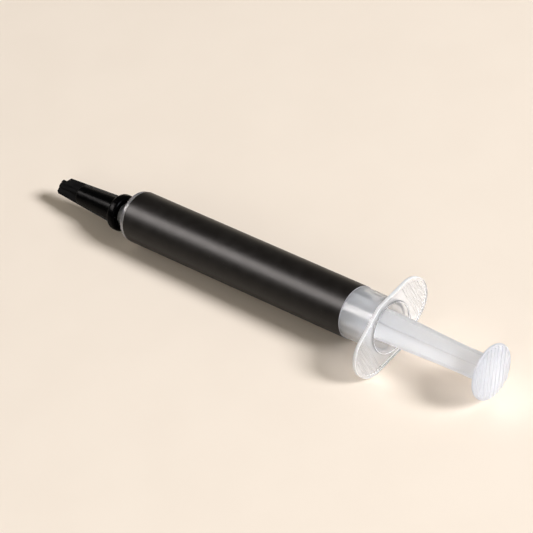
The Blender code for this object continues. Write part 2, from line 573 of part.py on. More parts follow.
def build_tip_cap(part, tools, axis, black):
    """The push-on cap: a blind socket over the nozzle, with a winged grip."""
    cap = turned("tip_cap", cap_outline(), SMALL_STEPS, part)
    cap.location = NOZZLE_CENTRE
    cap.rotation_euler = (0.0, 0.0, CAP_TURN)
    wings = as_tool(plate("cap_wings", wing_outline(), CAP_WING_THICKNESS, tools), cap)
    guard_front = CAP_SOCKET_FLOOR_Z - CAP_SOCKET_END_GAP
    guard_shape = [(0.0, SHOULDER_Z), (CAP_HUB_REAR_RADIUS - CAP_CLEARANCE, SHOULDER_Z),
                   (NOZZLE_TIP_RADIUS + CAP_CLEARANCE, guard_front), (0.0, guard_front)]
    guard = as_tool(turned("socket_guard", guard_shape, SMALL_STEPS, tools), cap)
    boolean(wings, guard, "DIFFERENCE")
    cross = as_tool(plate("cap_cross", cross_outline(), CAP_WING_THICKNESS, tools), cap)
    cross.rotation_euler = (0.0, 0.0, math.radians(90))
    boolean(cap, wings, "UNION")
    boolean(cap, cross, "UNION")
    return finish(cap, black, axis)


def main():
    """Build the syringe and lay it down."""
    clear_scene()
    part = collection("thermal_paste_syringe")
    tools = collection("cutters")
    axis = bpy.data.objects.new("syringe_axis", None)
    part.objects.link(axis)
    axis.location = (-REST_MIDDLE, 0.0, REST_HEIGHT)
    axis.rotation_euler = (0.0, math.radians(90) - REST_TILT, 0.0)

    clear = material("clear_plastic", (0.86, 0.86, 0.88), 0.12, 0.8)
    white = material("milky_plastic", (0.88, 0.88, 0.90), 0.25, 0.4)
    black = material("label_black", (0.022, 0.019, 0.018), 0.45)
    cap_black = material("cap_black", (0.010, 0.010, 0.011), 0.25)
    rubber = material("piston_rubber", (0.03, 0.03, 0.03), 0.6)
    grey = material("paste_grey", (0.35, 0.36, 0.37), 0.5)

    build_barrel(part, tools, axis, clear)
    build_label(part, axis, black)
    build_paste(part, axis, grey)
    build_piston(part, axis, rubber)
    build_plunger_rod(part, tools, axis, white)
    build_tip_cap(part, tools, axis, cap_black)
    bpy.context.view_layer.update()


if __name__ == "__main__":
    main()
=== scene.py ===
"""Looks of a thermal paste syringe that lies on a table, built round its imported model.

Every piece is modelled in millimetres along the syringe's own axis: local Z runs towards the thumb disc,
local X points down, and Z = 0 is the label's rear edge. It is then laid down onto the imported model.
"""
import json
import logging
import math
from abc import ABC, abstractmethod
from dataclasses import dataclass, field
from enum import Enum
from typing import ClassVar

import bmesh
import bpy
from mathutils import Matrix, Vector


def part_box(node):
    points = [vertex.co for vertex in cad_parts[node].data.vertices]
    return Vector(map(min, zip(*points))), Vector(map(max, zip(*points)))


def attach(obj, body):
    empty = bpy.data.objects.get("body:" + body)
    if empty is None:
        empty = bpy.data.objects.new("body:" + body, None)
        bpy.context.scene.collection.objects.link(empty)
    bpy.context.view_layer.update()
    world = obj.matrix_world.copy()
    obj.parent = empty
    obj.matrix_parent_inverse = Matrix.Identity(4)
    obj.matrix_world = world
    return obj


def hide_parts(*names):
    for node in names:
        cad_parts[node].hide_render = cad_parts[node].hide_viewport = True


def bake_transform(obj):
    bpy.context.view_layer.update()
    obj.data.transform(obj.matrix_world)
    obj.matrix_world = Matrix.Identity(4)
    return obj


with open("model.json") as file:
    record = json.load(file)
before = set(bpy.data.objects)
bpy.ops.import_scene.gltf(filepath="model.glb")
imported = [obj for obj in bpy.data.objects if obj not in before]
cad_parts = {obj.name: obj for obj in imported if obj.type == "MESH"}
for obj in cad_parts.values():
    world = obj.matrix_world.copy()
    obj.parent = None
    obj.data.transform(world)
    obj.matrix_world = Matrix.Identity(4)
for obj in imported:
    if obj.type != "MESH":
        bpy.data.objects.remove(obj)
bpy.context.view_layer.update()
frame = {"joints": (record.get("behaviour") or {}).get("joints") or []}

LOG = logging.getLogger("syringe")
MM = 0.001
LABEL_LENGTH = 56.9
TURN_STEPS = 128
SMALL_STEPS = 80
DISC_VERTICES = 128
BEVEL_SEGMENTS = 3
SMOOTH_ANGLE = math.radians(32)
FLAT_ANGLE = 0.0005
MERGE_DISTANCE = 0.0002
RIGHT_ANGLE = math.radians(90)
BEYOND = 1.0

Point = tuple[float, float]
Colour = tuple[float, float, float]
Feeds = dict[str | int, object]


class Operation(Enum):
    """How one solid meets another."""

    JOIN = "UNION"
    CUT = "DIFFERENCE"
    KEEP_SHARED = "INTERSECT"


class Closing(Enum):
    """How a drawn chain of edges ends."""

    OPEN = "open"
    LOOP = "loop"
    FACE = "face"


class Body(Enum):
    """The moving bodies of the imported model."""

    BARREL = "barrel"
    PLUNGER = "plunger"
    CAP = "cap"


class Workbench:
    """Modelling steps done with Blender's own operators, as by hand."""

    @staticmethod
    def clear_selection() -> None:
        """Go back to object mode with nothing selected."""
        if bpy.context.mode != "OBJECT":
            bpy.ops.object.mode_set(mode="OBJECT")
        bpy.ops.object.select_all(action="DESELECT")

    @staticmethod
    def pick(*objects: bpy.types.Object) -> None:
        """Select only some objects, the first of which becomes active.

        Args:
            objects: What to select.
        """
        Workbench.clear_selection()
        for obj in objects:
            obj.select_set(True)
        bpy.context.view_layer.objects.active = objects[0]

    @staticmethod
    def edit(obj: bpy.types.Object) -> None:
        """Open an object in edit mode with everything in it selected.

        Args:
            obj: The object.
        """
        Workbench.pick(obj)
        bpy.ops.object.mode_set(mode="EDIT")
        bpy.ops.mesh.select_all(action="SELECT")

    @staticmethod
    def draw_chain(name: str, points: list[Vector], closing: Closing) -> bpy.types.Object:
        """Draw a chain of edges, extruded point by point from a plane merged to its centre.

        Args:
            name: Name of the new object.
            points: The corners in order.
            closing: Whether the chain stays open, ends where it began, or is filled with a face.

        Returns:
            The object, left in edit mode with everything selected.
        """
        Workbench.clear_selection()
        bpy.ops.mesh.primitive_plane_add(size=1.0, location=(0.0, 0.0, 0.0))
        obj = bpy.context.object
        obj.name = name
        Workbench.edit(obj)
        bpy.ops.mesh.merge(type="CENTER")
        bpy.ops.transform.translate(value=points[0])
        for before, after in zip(points, points[1:]):
            bpy.ops.mesh.extrude_vertices_move(TRANSFORM_OT_translate={"value": after - before})
        if closing is Closing.FACE:
            bpy.ops.mesh.select_all(action="SELECT")
            bpy.ops.mesh.edge_face_add()
        elif closing is Closing.LOOP:
            mesh = bmesh.from_edit_mesh(obj.data)
            ends = [vertex for vertex in mesh.verts if len(vertex.link_edges) == 1]
            bpy.ops.mesh.select_all(action="DESELECT")
            for vertex in ends:
                vertex.select_set(True)
            bmesh.update_edit_mesh(obj.data)
            bpy.ops.mesh.edge_face_add()
        bpy.ops.mesh.select_all(action="SELECT")
        return obj

    @staticmethod
    def face_outwards() -> None:
        """Select all of the open mesh and turn its faces outwards."""
        bpy.ops.mesh.select_all(action="SELECT")
        bpy.ops.mesh.normals_make_consistent(inside=False)

    @staticmethod
    def spin(steps: int, angle: float) -> None:
        """Spin what is drawn in the open mesh about the axis.

        Args:
            steps: Number of facets.
            angle: How far round it goes.
        """
        bpy.ops.mesh.spin(steps=steps, angle=angle, use_auto_merge=True,
                          center=(0.0, 0.0, 0.0), axis=(0.0, 0.0, 1.0))
        bpy.ops.mesh.select_all(action="SELECT")
        bpy.ops.mesh.remove_doubles(threshold=MERGE_DISTANCE)
        Workbench.face_outwards()

    @staticmethod
    def turn(name: str, profile: list[Point], steps: int, closing: Closing = Closing.OPEN,
             centre: Vector | None = None) -> bpy.types.Object:
        """Turn a profile about the syringe's axis into a closed solid.

        Args:
            name: Name of the new object.
            profile: Corners as (radius, place along the axis).
            steps: Number of facets round the solid.
            closing: OPEN for a profile that starts and ends on the axis, LOOP for a ring's section.
            centre: Where the solid's own axis stands, beside the syringe's.

        Returns:
            The turned solid.
        """
        points = [Vector((radius, 0.0, z)) for radius, z in profile]
        obj = Workbench.draw_chain(name, points, closing)
        Workbench.spin(steps, math.tau)
        if centre is not None:
            bpy.ops.transform.translate(value=centre)
        Workbench.clear_selection()
        return obj

    @staticmethod
    def plate(name: str, outline: list[Point], thickness: float, turn: float,
              edge_round: float, centre: Vector | None = None) -> bpy.types.Object:
        """A flat plate along the axis, extruded from its outline, with rounded edges.

        Args:
            name: Name of the new object.
            outline: Corners as (place across, place along the axis).
            thickness: Thickness of the plate.
            turn: Angle about the axis from local X.
            edge_round: Radius of the plate's edges.
            centre: Where the plate's own axis stands.

        Returns:
            The plate.
        """
        points = [Vector((x, -thickness / 2, z)) for x, z in outline]
        obj = Workbench.draw_chain(name, points, Closing.FACE)
        bpy.ops.mesh.extrude_region_move(TRANSFORM_OT_translate={"value": (0.0, thickness, 0.0)})
        Workbench.face_outwards()
        Workbench.clear_selection()
        Workbench.round_edges(obj, edge_round)
        Workbench.set_down(obj, Matrix.Translation(centre or Vector()) @ Matrix.Rotation(turn, 4, "Z"))
        return obj

    @staticmethod
    def belt_slab(name: str, discs: list[tuple[float, float, float]], low: float, high: float,
                  turn: float, edge_round: float) -> bpy.types.Object:
        """A flat slab whose outline is the tightest belt round some discs.

        Args:
            name: Name of the new object.
            discs: Each disc as (x, y, radius).
            low: Where the slab starts along the axis.
            high: Where the slab ends.
            turn: Angle about the axis from local X.
            edge_round: Radius of the slab's edges.

        Returns:
            The slab.
        """
        Workbench.clear_selection()
        middle = (low + high) / 2
        obj = None
        for x, y, radius in discs:
            bpy.ops.mesh.primitive_cylinder_add(vertices=DISC_VERTICES, radius=radius, depth=high - low,
                                                location=(x, y, middle))
            if obj is None:
                obj = bpy.context.object
                obj.name = name
                bpy.ops.object.mode_set(mode="EDIT")
        bpy.ops.mesh.select_all(action="SELECT")
        bpy.ops.mesh.convex_hull()
        bpy.ops.mesh.select_all(action="SELECT")
        bpy.ops.mesh.dissolve_limited(angle_limit=FLAT_ANGLE)
        Workbench.face_outwards()
        Workbench.clear_selection()
        Workbench.set_down(obj)
        Workbench.round_edges(obj, edge_round)
        Workbench.set_down(obj, Matrix.Rotation(turn, 4, "Z"))
        return obj

    @staticmethod
    def bar(name: str, size: Vector, centre: Vector, edge_round: float) -> bpy.types.Object:
        """A straight bar with rounded edges.

        Args:
            name: Name of the new object.
            size: Length along each direction.
            centre: Middle of the bar.
            edge_round: Radius of its edges.

        Returns:
            The bar.
        """
        Workbench.clear_selection()
        bpy.ops.mesh.primitive_cube_add(size=1.0, location=centre, scale=size)
        obj = bpy.context.object
        obj.name = name
        Workbench.set_down(obj)
        Workbench.round_edges(obj, edge_round)
        return obj

    @staticmethod
    def repeat(first: bpy.types.Object, offsets: list[Vector]) -> bpy.types.Object:
        """Copy a piece to several places and join the copies to it.

        Args:
            first: The piece as modelled.
            offsets: Where each further copy goes, from the first.

        Returns:
            One object that holds them all.
        """
        copies = [first]
        for offset in offsets:
            Workbench.pick(first)
            bpy.ops.object.duplicate()
            bpy.ops.transform.translate(value=offset)
            copies.append(bpy.context.object)
        Workbench.pick(*copies)
        bpy.ops.object.join()
        Workbench.set_down(first)
        return first

    @staticmethod
    def set_down(obj: bpy.types.Object, place: Matrix = Matrix.Identity(4)) -> None:
        """Move an object and apply its transform, so that its place is in its mesh.

        Args:
            obj: The object to move.
            place: The move, applied on top of where it stands.
        """
        Workbench.pick(obj)
        obj.matrix_world = place @ obj.matrix_world
        bpy.ops.object.transform_apply(location=True, rotation=True, scale=True)

    @staticmethod
    def apply(obj: bpy.types.Object, modifier: bpy.types.Modifier) -> None:
        """Apply one modifier of an object."""
        Workbench.pick(obj)
        bpy.ops.object.modifier_apply(modifier=modifier.name)

    @staticmethod
    def round_edges(obj: bpy.types.Object, width: float, angle: float = math.radians(50)) -> None:
        """Bevel the sharp edges of an object.

        Args:
            obj: The object.
            width: Width of the bevel.
            angle: Edges that are sharper than this are rounded.
        """
        bevel = obj.modifiers.new("round_edges", "BEVEL")
        bevel.width = width
        bevel.segments = BEVEL_SEGMENTS
        bevel.limit_method = "ANGLE"
        bevel.angle_limit = angle
        Workbench.apply(obj, bevel)

    @staticmethod
    def combine(target: bpy.types.Object, operation: Operation, *tools: bpy.types.Object) -> None:
        """Join other solids to one, or cut it with them, in order. They are used up.

        Args:
            target: The solid that stays.
            operation: What to do.
            tools: The other solids.
        """
        for tool in tools:
            step = target.modifiers.new("combine", "BOOLEAN")
            step.object = tool
            step.operation = operation.value
            step.solver = "EXACT"
            Workbench.apply(target, step)
            bpy.data.objects.remove(tool, do_unlink=True)

    @staticmethod
    def smooth(obj: bpy.types.Object) -> None:
        """Shade round faces smooth and keep flat faces flat up to their rounded edges.

        Args:
            obj: The object.
        """
        Workbench.pick(obj)
        bpy.ops.object.shade_smooth_by_angle(angle=SMOOTH_ANGLE)
        weighted = obj.modifiers.new("weighted_normals", "WEIGHTED_NORMAL")
        weighted.mode = "FACE_AREA"
        weighted.keep_sharp = True
        Workbench.apply(obj, weighted)


def arc(centre_radius: float, centre_z: float, radius: float, start: float, end: float,
        count: int = 8) -> list[Point]:
    """Points of a round stretch in a profile.

    Args:
        centre_radius: Centre's distance from the axis.
        centre_z: Centre's place along the axis.
        radius: Radius of the arc.
        start: First angle in degrees, from the outward direction.
        end: Last angle in degrees.
        count: Number of steps.

    Returns:
        The points in order.
    """
    angles = [math.radians(start + (end - start) * i / count) for i in range(count + 1)]
    return [(centre_radius + radius * math.cos(a), centre_z + radius * math.sin(a)) for a in angles]


@dataclass(frozen=True)
class SyringeAxis:
    """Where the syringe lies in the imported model."""

    origin: Vector
    direction: Vector

    @classmethod
    def from_frame(cls) -> "SyringeAxis":
        """Find the axis from the label's box and the plunger's joint.

        Returns:
            The axis, with its origin at the label's rear edge.
        """
        joint = next(j for j in frame["joints"] if j["name"] == "plunger_slide")
        direction = Vector(joint["axis"]).normalized()
        low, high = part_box("label")
        radius = (high.y - low.y) / 2
        length = (high.x - low.x - 2 * radius * direction.z) / direction.x
        return cls((low + high) / 2 + direction * length / 2, direction)

    @property
    def turn(self) -> float:
        """Angle about world Y that lays local Z along the syringe."""
        return RIGHT_ANGLE - math.asin(self.direction.z)

    def matrix(self) -> Matrix:
        """From millimetres along the syringe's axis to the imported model's metres."""
        return Matrix.Translation(self.origin) @ Matrix.Rotation(self.turn, 4, "Y") @ Matrix.Scale(MM, 4)

    def world(self, x: float, y: float, z: float) -> Vector:
        """The world place of a local point in millimetres."""
        return self.matrix() @ Vector((x, y, z))


class NodeSheet:
    """A node tree with one call for each kind of step."""

    def __init__(self, tree: bpy.types.NodeTree) -> None:
        """Keep the tree that nodes go into."""
        self.tree = tree

    def feed(self, made: bpy.types.Node, feeds: Feeds) -> None:
        """Set or link the inputs of a node.

        Args:
            made: The node.
            feeds: Value or source socket for each input by name or number.
        """
        for socket, value in feeds.items():
            if isinstance(value, bpy.types.NodeSocket):
                self.tree.links.new(value, made.inputs[socket])
            else:
                made.inputs[socket].default_value = value

    def feed_shader(self, feeds: Feeds) -> None:
        """Feed the material's own Principled shader."""
        self.feed(self.tree.nodes["Principled BSDF"], feeds)

    def node(self, kind: str, feeds: Feeds, **settings: object) -> bpy.types.Node:
        """Place a node.

        Args:
            kind: Node type without its ShaderNode prefix.
            feeds: Value or source socket for each input.
            settings: Attributes of the node.

        Returns:
            The node.
        """
        made = self.tree.nodes.new(f"ShaderNode{kind}")
        for name, value in settings.items():
            setattr(made, name, value)
        self.feed(made, feeds)
        return made

    def use(self, effect: bpy.types.NodeTree, **feeds: object) -> bpy.types.NodeOutputs:
        """Place a shared effect with its own values, and give its outputs."""
        return self.node("Group", feeds, node_tree=effect).outputs

    def along(self, place: bpy.types.NodeSocket) -> bpy.types.NodeSocket:
        """The Z of coordinates, which is the place along the axis."""
        return self.node("SeparateXYZ", {"Vector": place}).outputs["Z"]

    def sum(self, first: object, second: object) -> bpy.types.NodeSocket:
        """The sum of two values."""
        return self.node("Math", {0: first, 1: second}, operation="ADD").outputs[0]

    def product(self, first: object, second: object) -> bpy.types.NodeSocket:
        """The product of two values."""
        return self.node("Math", {0: first, 1: second}, operation="MULTIPLY").outputs[0]

    def ramp(self, value: object, start: float, end: float, low: float = 0.0,
             high: float = 1.0) -> bpy.types.NodeSocket:
        """A soft clamped step.

        Args:
            value: What is mapped.
            start: Value that gives low.
            end: Value that gives high.
            low: Result at and before start.
            high: Result at and after end.

        Returns:
            The mapped value.
        """
        feeds = {"Value": value, "From Min": start, "From Max": end, "To Min": low, "To Max": high}
        return self.node("MapRange", feeds, interpolation_type="SMOOTHSTEP").outputs[0]

    def mix_colour(self, share: object, first: object, second: object) -> bpy.types.NodeSocket:
        """A colour between two.

        Args:
            share: 0 for the first colour, 1 for the second.
            first: First colour.
            second: Second colour.

        Returns:
            The mixed colour.
        """
        made = self.node("Mix", {"Factor": share}, data_type="RGBA")
        colours = [socket for socket in made.inputs if socket.type == "RGBA"]
        for socket, value in zip(colours, (first, second)):
            if isinstance(value, bpy.types.NodeSocket):
                self.tree.links.new(value, socket)
            else:
                socket.default_value = (*value, 1.0)
        return next(socket for socket in made.outputs if socket.type == "RGBA")

    def bump(self, height: bpy.types.NodeSocket, depth: float) -> bpy.types.NodeSocket:
        """A normal from a height, of which 1 stands for a depth in millimetres."""
        feeds = {"Height": height, "Distance": depth * MM, "Strength": 1.0}
        return self.node("Bump", feeds).outputs["Normal"]

    def lit_through(self, share: object, bounced: float) -> bpy.types.NodeSocket:
        """An alpha that lets light through a translucent wall, which itself stays as solid as it is.

        Args:
            share: How much of a lamp's light goes on through the surface.
            bounced: How much of that share light takes that other surfaces scatter.

        Returns:
            The alpha.
        """
        path = self.node("LightPath", {}).outputs
        bounces = self.product(path["Is Diffuse Ray"], bounced)
        passed = self.product(self.sum(path["Is Shadow Ray"], bounces), share)
        return self.node("Math", {0: 1.0, 1: passed}, operation="SUBTRACT").outputs[0]

    def group_inputs(self) -> bpy.types.NodeOutputs:
        """The sockets that bring a group's inputs in."""
        return self.tree.nodes.new("NodeGroupInput").outputs

    def feed_outputs(self, feeds: Feeds) -> None:
        """Feed a group's outputs."""
        self.feed(self.tree.nodes.new("NodeGroupOutput"), feeds)


class Effects:
    """Node groups that several finishes share, each built once."""

    @staticmethod
    def group(name: str, inputs: dict[str, float | None],
              outputs: list[str]) -> tuple[bpy.types.NodeTree, bool]:
        """Find a group or start it with its named sockets.

        Args:
            name: Name of the group.
            inputs: Default of each input; None for a vector.
            outputs: Names of its value outputs.

        Returns:
            The group, and whether it is new and still empty.
        """
        found = bpy.data.node_groups.get(name)
        if found is not None:
            return found, False
        tree = bpy.data.node_groups.new(name, "ShaderNodeTree")
        for label, default in inputs.items():
            kind = "NodeSocketVector" if default is None else "NodeSocketFloat"
            socket = tree.interface.new_socket(name=label, in_out="INPUT", socket_type=kind)
            if default is not None:
                socket.default_value = default
        for label in outputs:
            tree.interface.new_socket(name=label, in_out="OUTPUT", socket_type="NodeSocketFloat")
        return tree, True

    @staticmethod
    def grain() -> bpy.types.NodeTree:
        """Fine pebbled skin of a moulding or film.

        Returns:
            The group, which puts out Height and a slower Patches value.
        """
        tree, new = Effects.group("surface_grain", {"Vector": None, "Scale": 8.0}, ["Height", "Patches"])
        if new:
            sheet = NodeSheet(tree)
            given = sheet.group_inputs()
            fine = sheet.node("TexNoise", {"Vector": given["Vector"], "Scale": given["Scale"],
                                           "Detail": 2.0, "Roughness": 0.55})
            slow_scale = sheet.product(given["Scale"], 0.06)
            slow = sheet.node("TexNoise", {"Vector": given["Vector"], "Scale": slow_scale,
                                           "Detail": 2.0, "Roughness": 0.5})
            patches = sheet.ramp(slow.outputs["Fac"], 0.3, 0.7)
            sheet.feed_outputs({"Height": fine.outputs["Fac"], "Patches": patches})
        return tree

    @staticmethod
    def streaks() -> bpy.types.NodeTree:
        """Flow lines that run along a moulding.

        Returns:
            The group, which puts out Height and a Mask.
        """
        inputs = {"Vector": None, "Scale": 1.2, "Stretch": 0.05}
        tree, new = Effects.group("flow_streaks", inputs, ["Height", "Mask"])
        if new:
            sheet = NodeSheet(tree)
            given = sheet.group_inputs()
            squeeze = sheet.node("CombineXYZ", {"X": 1.0, "Y": 1.0, "Z": given["Stretch"]})
            drawn = sheet.node("VectorMath", {0: given["Vector"], 1: squeeze.outputs[0]}, operation="MULTIPLY")
            noise = sheet.node("TexNoise", {"Vector": drawn.outputs[0], "Scale": given["Scale"],
                                            "Detail": 3.0, "Roughness": 0.5, "Distortion": 0.3}).outputs["Fac"]
            sheet.feed_outputs({"Height": noise, "Mask": sheet.ramp(noise, 0.42, 0.66)})
        return tree

    @staticmethod
    def dust() -> bpy.types.NodeTree:
        """Sparse specks of dust.

        Returns:
            The group, which puts out a Mask.
        """
        tree, new = Effects.group("dust_specks", {"Vector": None, "Scale": 2.0, "Size": 0.05}, ["Mask"])
        if new:
            sheet = NodeSheet(tree)
            given = sheet.group_inputs()
            cells = sheet.node("TexVoronoi", {"Vector": given["Vector"], "Scale": given["Scale"],
                                              "Randomness": 1.0})
            lot = sheet.node("TexWhiteNoise", {"Vector": cells.outputs["Position"]}, noise_dimensions="3D")
            rare = sheet.ramp(lot.outputs["Value"], 0.72, 0.78)
            near = sheet.node("Math", {0: cells.outputs["Distance"], 1: given["Size"]}, operation="LESS_THAN")
            sheet.feed_outputs({"Mask": sheet.product(near.outputs[0], rare)})
        return tree


class Finish(ABC):
    """What all finishes share: a name, and a material with coordinates along the syringe's axis."""

    name: str

    @abstractmethod
    def make(self, axis: SyringeAxis) -> bpy.types.Material:
        """Build the material."""

    def start(self, axis: SyringeAxis) -> tuple[bpy.types.Material, NodeSheet, bpy.types.NodeSocket]:
        """Begin the material.

        Args:
            axis: The syringe's axis, which the pattern follows.

        Returns:
            The material, its node sheet, and coordinates in millimetres along the axis.
        """
        material = bpy.data.materials.new(self.name)
        material.use_nodes = True
        sheet = NodeSheet(material.node_tree)
        place = sheet.node("TexCoord", {})
        mapping = sheet.node("Mapping", {"Vector": place.outputs["Object"], "Location": axis.origin,
                                         "Rotation": (0.0, axis.turn, 0.0), "Scale": (MM, MM, MM)},
                             vector_type="TEXTURE")
        return material, sheet, mapping.outputs["Vector"]


@dataclass(frozen=True)
class ClearPlastic(Finish):
    """Clear moulded plastic, a little hazy, with faint flow lines, and painted shade that darkens the ring of
    its front shoulder.
    """

    name: str = "clear_plastic"
    tint: Colour = (0.932, 0.958, 1.0)
    streak_tint: Colour = (0.915, 0.940, 0.985)
    # painted shade: a greyer tint for the clear ring of the shoulder between the label and the barrel's front
    shoulder_painted_shade_tint: Colour = (0.50, 0.50, 0.56)
    shoulder_start: float = -57.1
    shoulder_end: float = -57.5
    nozzle_start: float = -58.05
    nozzle_end: float = -58.5
    transmission: float = 0.80
    refraction: float = 1.27
    roughness: float = 0.12
    streak_roughness: float = 0.23
    soak_reach: float = 1.5
    flow_depth: float = 0.003
    gloss: float = 0.028
    dust_roughness: float = 0.3
    light_through: float = 0.46
    bounced: float = 1.8

    def make(self, axis: SyringeAxis) -> bpy.types.Material:
        """Build the material.

        Args:
            axis: The syringe's axis.

        Returns:
            The material.
        """
        material, sheet, place = self.start(axis)
        flow = sheet.use(Effects.streaks(), Vector=place, Scale=1.1, Stretch=0.12)
        skin = sheet.use(Effects.grain(), Vector=place, Scale=5.0)
        specks = sheet.use(Effects.dust(), Vector=place, Scale=0.9, Size=0.045)
        haze = sheet.product(flow["Mask"], skin["Patches"])
        rough = sheet.ramp(haze, 0.0, 1.0, self.roughness, self.streak_roughness)
        along = sheet.along(place)
        # painted shade: this mask darkens the clear shoulder ring between the label's front edge and the
        # nozzle
        shoulder = sheet.product(sheet.ramp(along, self.shoulder_start, self.shoulder_end),
                                 sheet.ramp(along, self.nozzle_end, self.nozzle_start))
        walls = sheet.mix_colour(flow["Mask"], self.tint, self.streak_tint)
        sheet.feed_shader({
            "Base Color": sheet.mix_colour(shoulder, walls, self.shoulder_painted_shade_tint),
            "Roughness": sheet.sum(rough, sheet.product(specks["Mask"], self.dust_roughness)),
            "IOR": self.refraction,
            "Specular IOR Level": self.gloss,
            "Transmission Weight": self.transmission,
            "Subsurface Weight": 1.0,
            "Subsurface Radius": (1.0, 1.0, 1.0),
            "Subsurface Scale": self.soak_reach * MM,
            "Alpha": sheet.lit_through(self.light_through, self.bounced),
            "Normal": sheet.bump(flow["Height"], self.flow_depth)})
        return material


@dataclass(frozen=True)
class MilkyPlastic(Finish):
    """Milky moulded plastic that light soaks into; the thumb disc gets a darker tint, painted shade where the
    key lamp falls full on its face.
    """

    name: str = "milky_plastic"
    tint: Colour = (0.935, 0.960, 1.0)
    streak_tint: Colour = (0.918, 0.946, 0.995)
    # painted shade: the thumb disc is tinted darker than the fins to hold back the key lamp that falls full on
    # its face
    disc_painted_shade_tint: Colour = (0.80, 0.825, 0.89)
    disc_start: float = 30.8
    disc_end: float = 31.3
    transmission: float = 0.56
    transmission: float = 0.56
    refraction: float = 1.4
    soak_reach: float = 4.0
    roughness: float = 0.36
    worn_roughness: float = 0.44
    dust_roughness: float = 0.25
    flow_depth: float = 0.002
    skin_share: float = 0.2
    gloss: float = 0.2
    light_through: float = 0.54
    disc_light_through: float = 0.30
    bounced: float = 0.5

    def make(self, axis: SyringeAxis) -> bpy.types.Material:
        """Build the material.

        Args:
            axis: The syringe's axis.

        Returns:
            The material.
        """
        material, sheet, place = self.start(axis)
        flow = sheet.use(Effects.streaks(), Vector=place, Scale=0.9, Stretch=0.06)
        skin = sheet.use(Effects.grain(), Vector=place, Scale=9.0)
        specks = sheet.use(Effects.dust(), Vector=place, Scale=0.8, Size=0.05)
        height = sheet.sum(flow["Height"], sheet.product(skin["Height"], self.skin_share))
        rough = sheet.ramp(skin["Patches"], 0.0, 1.0, self.roughness, self.worn_roughness)
        along = sheet.along(place)
        # painted shade: mask for the thumb disc's darker tint
        painted_shade_on_disc = sheet.ramp(along, self.disc_start, self.disc_end)
        fins = sheet.mix_colour(flow["Mask"], self.tint, self.streak_tint)
        share = sheet.ramp(along, self.disc_start, self.disc_end, self.light_through, self.disc_light_through)
        sheet.feed_shader({
            "Base Color": sheet.mix_colour(painted_shade_on_disc, fins, self.disc_painted_shade_tint),
            "Roughness": sheet.sum(rough, sheet.product(specks["Mask"], self.dust_roughness)),
            "IOR": self.refraction,
            "Specular IOR Level": self.gloss,
            "Transmission Weight": self.transmission,
            "Subsurface Weight": 1.0,
            "Subsurface Radius": (1.0, 1.0, 1.0),
            "Subsurface Scale": self.soak_reach * MM,
            "Alpha": sheet.lit_through(share, self.bounced),
            "Normal": sheet.bump(height, self.flow_depth)})
        return material


@dataclass(frozen=True)
class BlackFilm(Finish):
    """Satin black label film with a fine grain and pale cut edges."""

    name: str = "label_black"
    colour: Colour = (0.0066, 0.0050, 0.0042)
    worn_colour: Colour = (0.0100, 0.0082, 0.0070)
    edge_colour: Colour = (0.30, 0.29, 0.30)
    dust_colour: Colour = (0.25, 0.24, 0.22)
    dust_share: float = 0.35
    dust_roughness: float = 0.3
    length: float = LABEL_LENGTH
    edge_width: float = 0.07
    roughness: float = 0.36
    worn_roughness: float = 0.39
    refraction: float = 1.5
    gloss: float = 0.145
    grain_depth: float = 0.002

    def make(self, axis: SyringeAxis) -> bpy.types.Material:
        """Build the material.

        Args:
            axis: The syringe's axis.

        Returns:
            The material.
        """
        material, sheet, place = self.start(axis)
        skin = sheet.use(Effects.grain(), Vector=place, Scale=7.0)
        specks = sheet.use(Effects.dust(), Vector=place, Scale=1.3, Size=0.06)
        half = self.length / 2
        from_middle = sheet.node("Math", {0: sheet.sum(sheet.along(place), half)}, operation="ABSOLUTE")
        cut_edge = sheet.ramp(from_middle.outputs[0], half - self.edge_width, half - self.edge_width / 2)
        film = sheet.mix_colour(skin["Patches"], self.colour, self.worn_colour)
        dusty = sheet.mix_colour(sheet.product(specks["Mask"], self.dust_share), film, self.dust_colour)
        rough = sheet.ramp(skin["Patches"], 0.0, 1.0, self.roughness, self.worn_roughness)
        sheet.feed_shader({
            "Base Color": sheet.mix_colour(cut_edge, dusty, self.edge_colour),
            "Roughness": sheet.sum(rough, sheet.product(specks["Mask"], self.dust_roughness)),
            "IOR": self.refraction,
            "Specular IOR Level": self.gloss,
            "Normal": sheet.bump(skin["Height"], self.grain_depth)})
        return material


@dataclass(frozen=True)
class BlackPlastic(Finish):
    """Glossy black moulded plastic with faint flow lines and dust."""

    name: str = "cap_black"
    colour: Colour = (0.0004, 0.0004, 0.0005)
    dust_colour: Colour = (0.05, 0.05, 0.05)
    dust_share: float = 0.25
    dust_roughness: float = 0.3
    roughness: float = 0.22
    streak_roughness: float = 0.1
    grip_roughness: float = 0.60
    grip_start: float = -73.0
    grip_end: float = -74.0
    refraction: float = 1.5
    gloss: float = 0.026
    flow_depth: float = 0.004
    skin_share: float = 0.25

    def make(self, axis: SyringeAxis) -> bpy.types.Material:
        """Build the material.

        Args:
            axis: The syringe's axis.

        Returns:
            The material.
        """
        material, sheet, place = self.start(axis)
        flow = sheet.use(Effects.streaks(), Vector=place, Scale=1.6, Stretch=0.2)
        skin = sheet.use(Effects.grain(), Vector=place, Scale=12.0)
        specks = sheet.use(Effects.dust(), Vector=place, Scale=1.8, Size=0.06)
        height = sheet.sum(flow["Height"], sheet.product(skin["Height"], self.skin_share))
        base = sheet.ramp(sheet.along(place), self.grip_start, self.grip_end,
                          self.roughness, self.grip_roughness)
        rough = sheet.sum(base, sheet.product(flow["Mask"], self.streak_roughness))
        dusty = sheet.product(specks["Mask"], self.dust_share)
        sheet.feed_shader({
            "Base Color": sheet.mix_colour(dusty, self.colour, self.dust_colour),
            "Roughness": sheet.sum(rough, sheet.product(specks["Mask"], self.dust_roughness)),
            "IOR": self.refraction,
            "Specular IOR Level": self.gloss,
            "Normal": sheet.bump(height, self.flow_depth)})
        return material


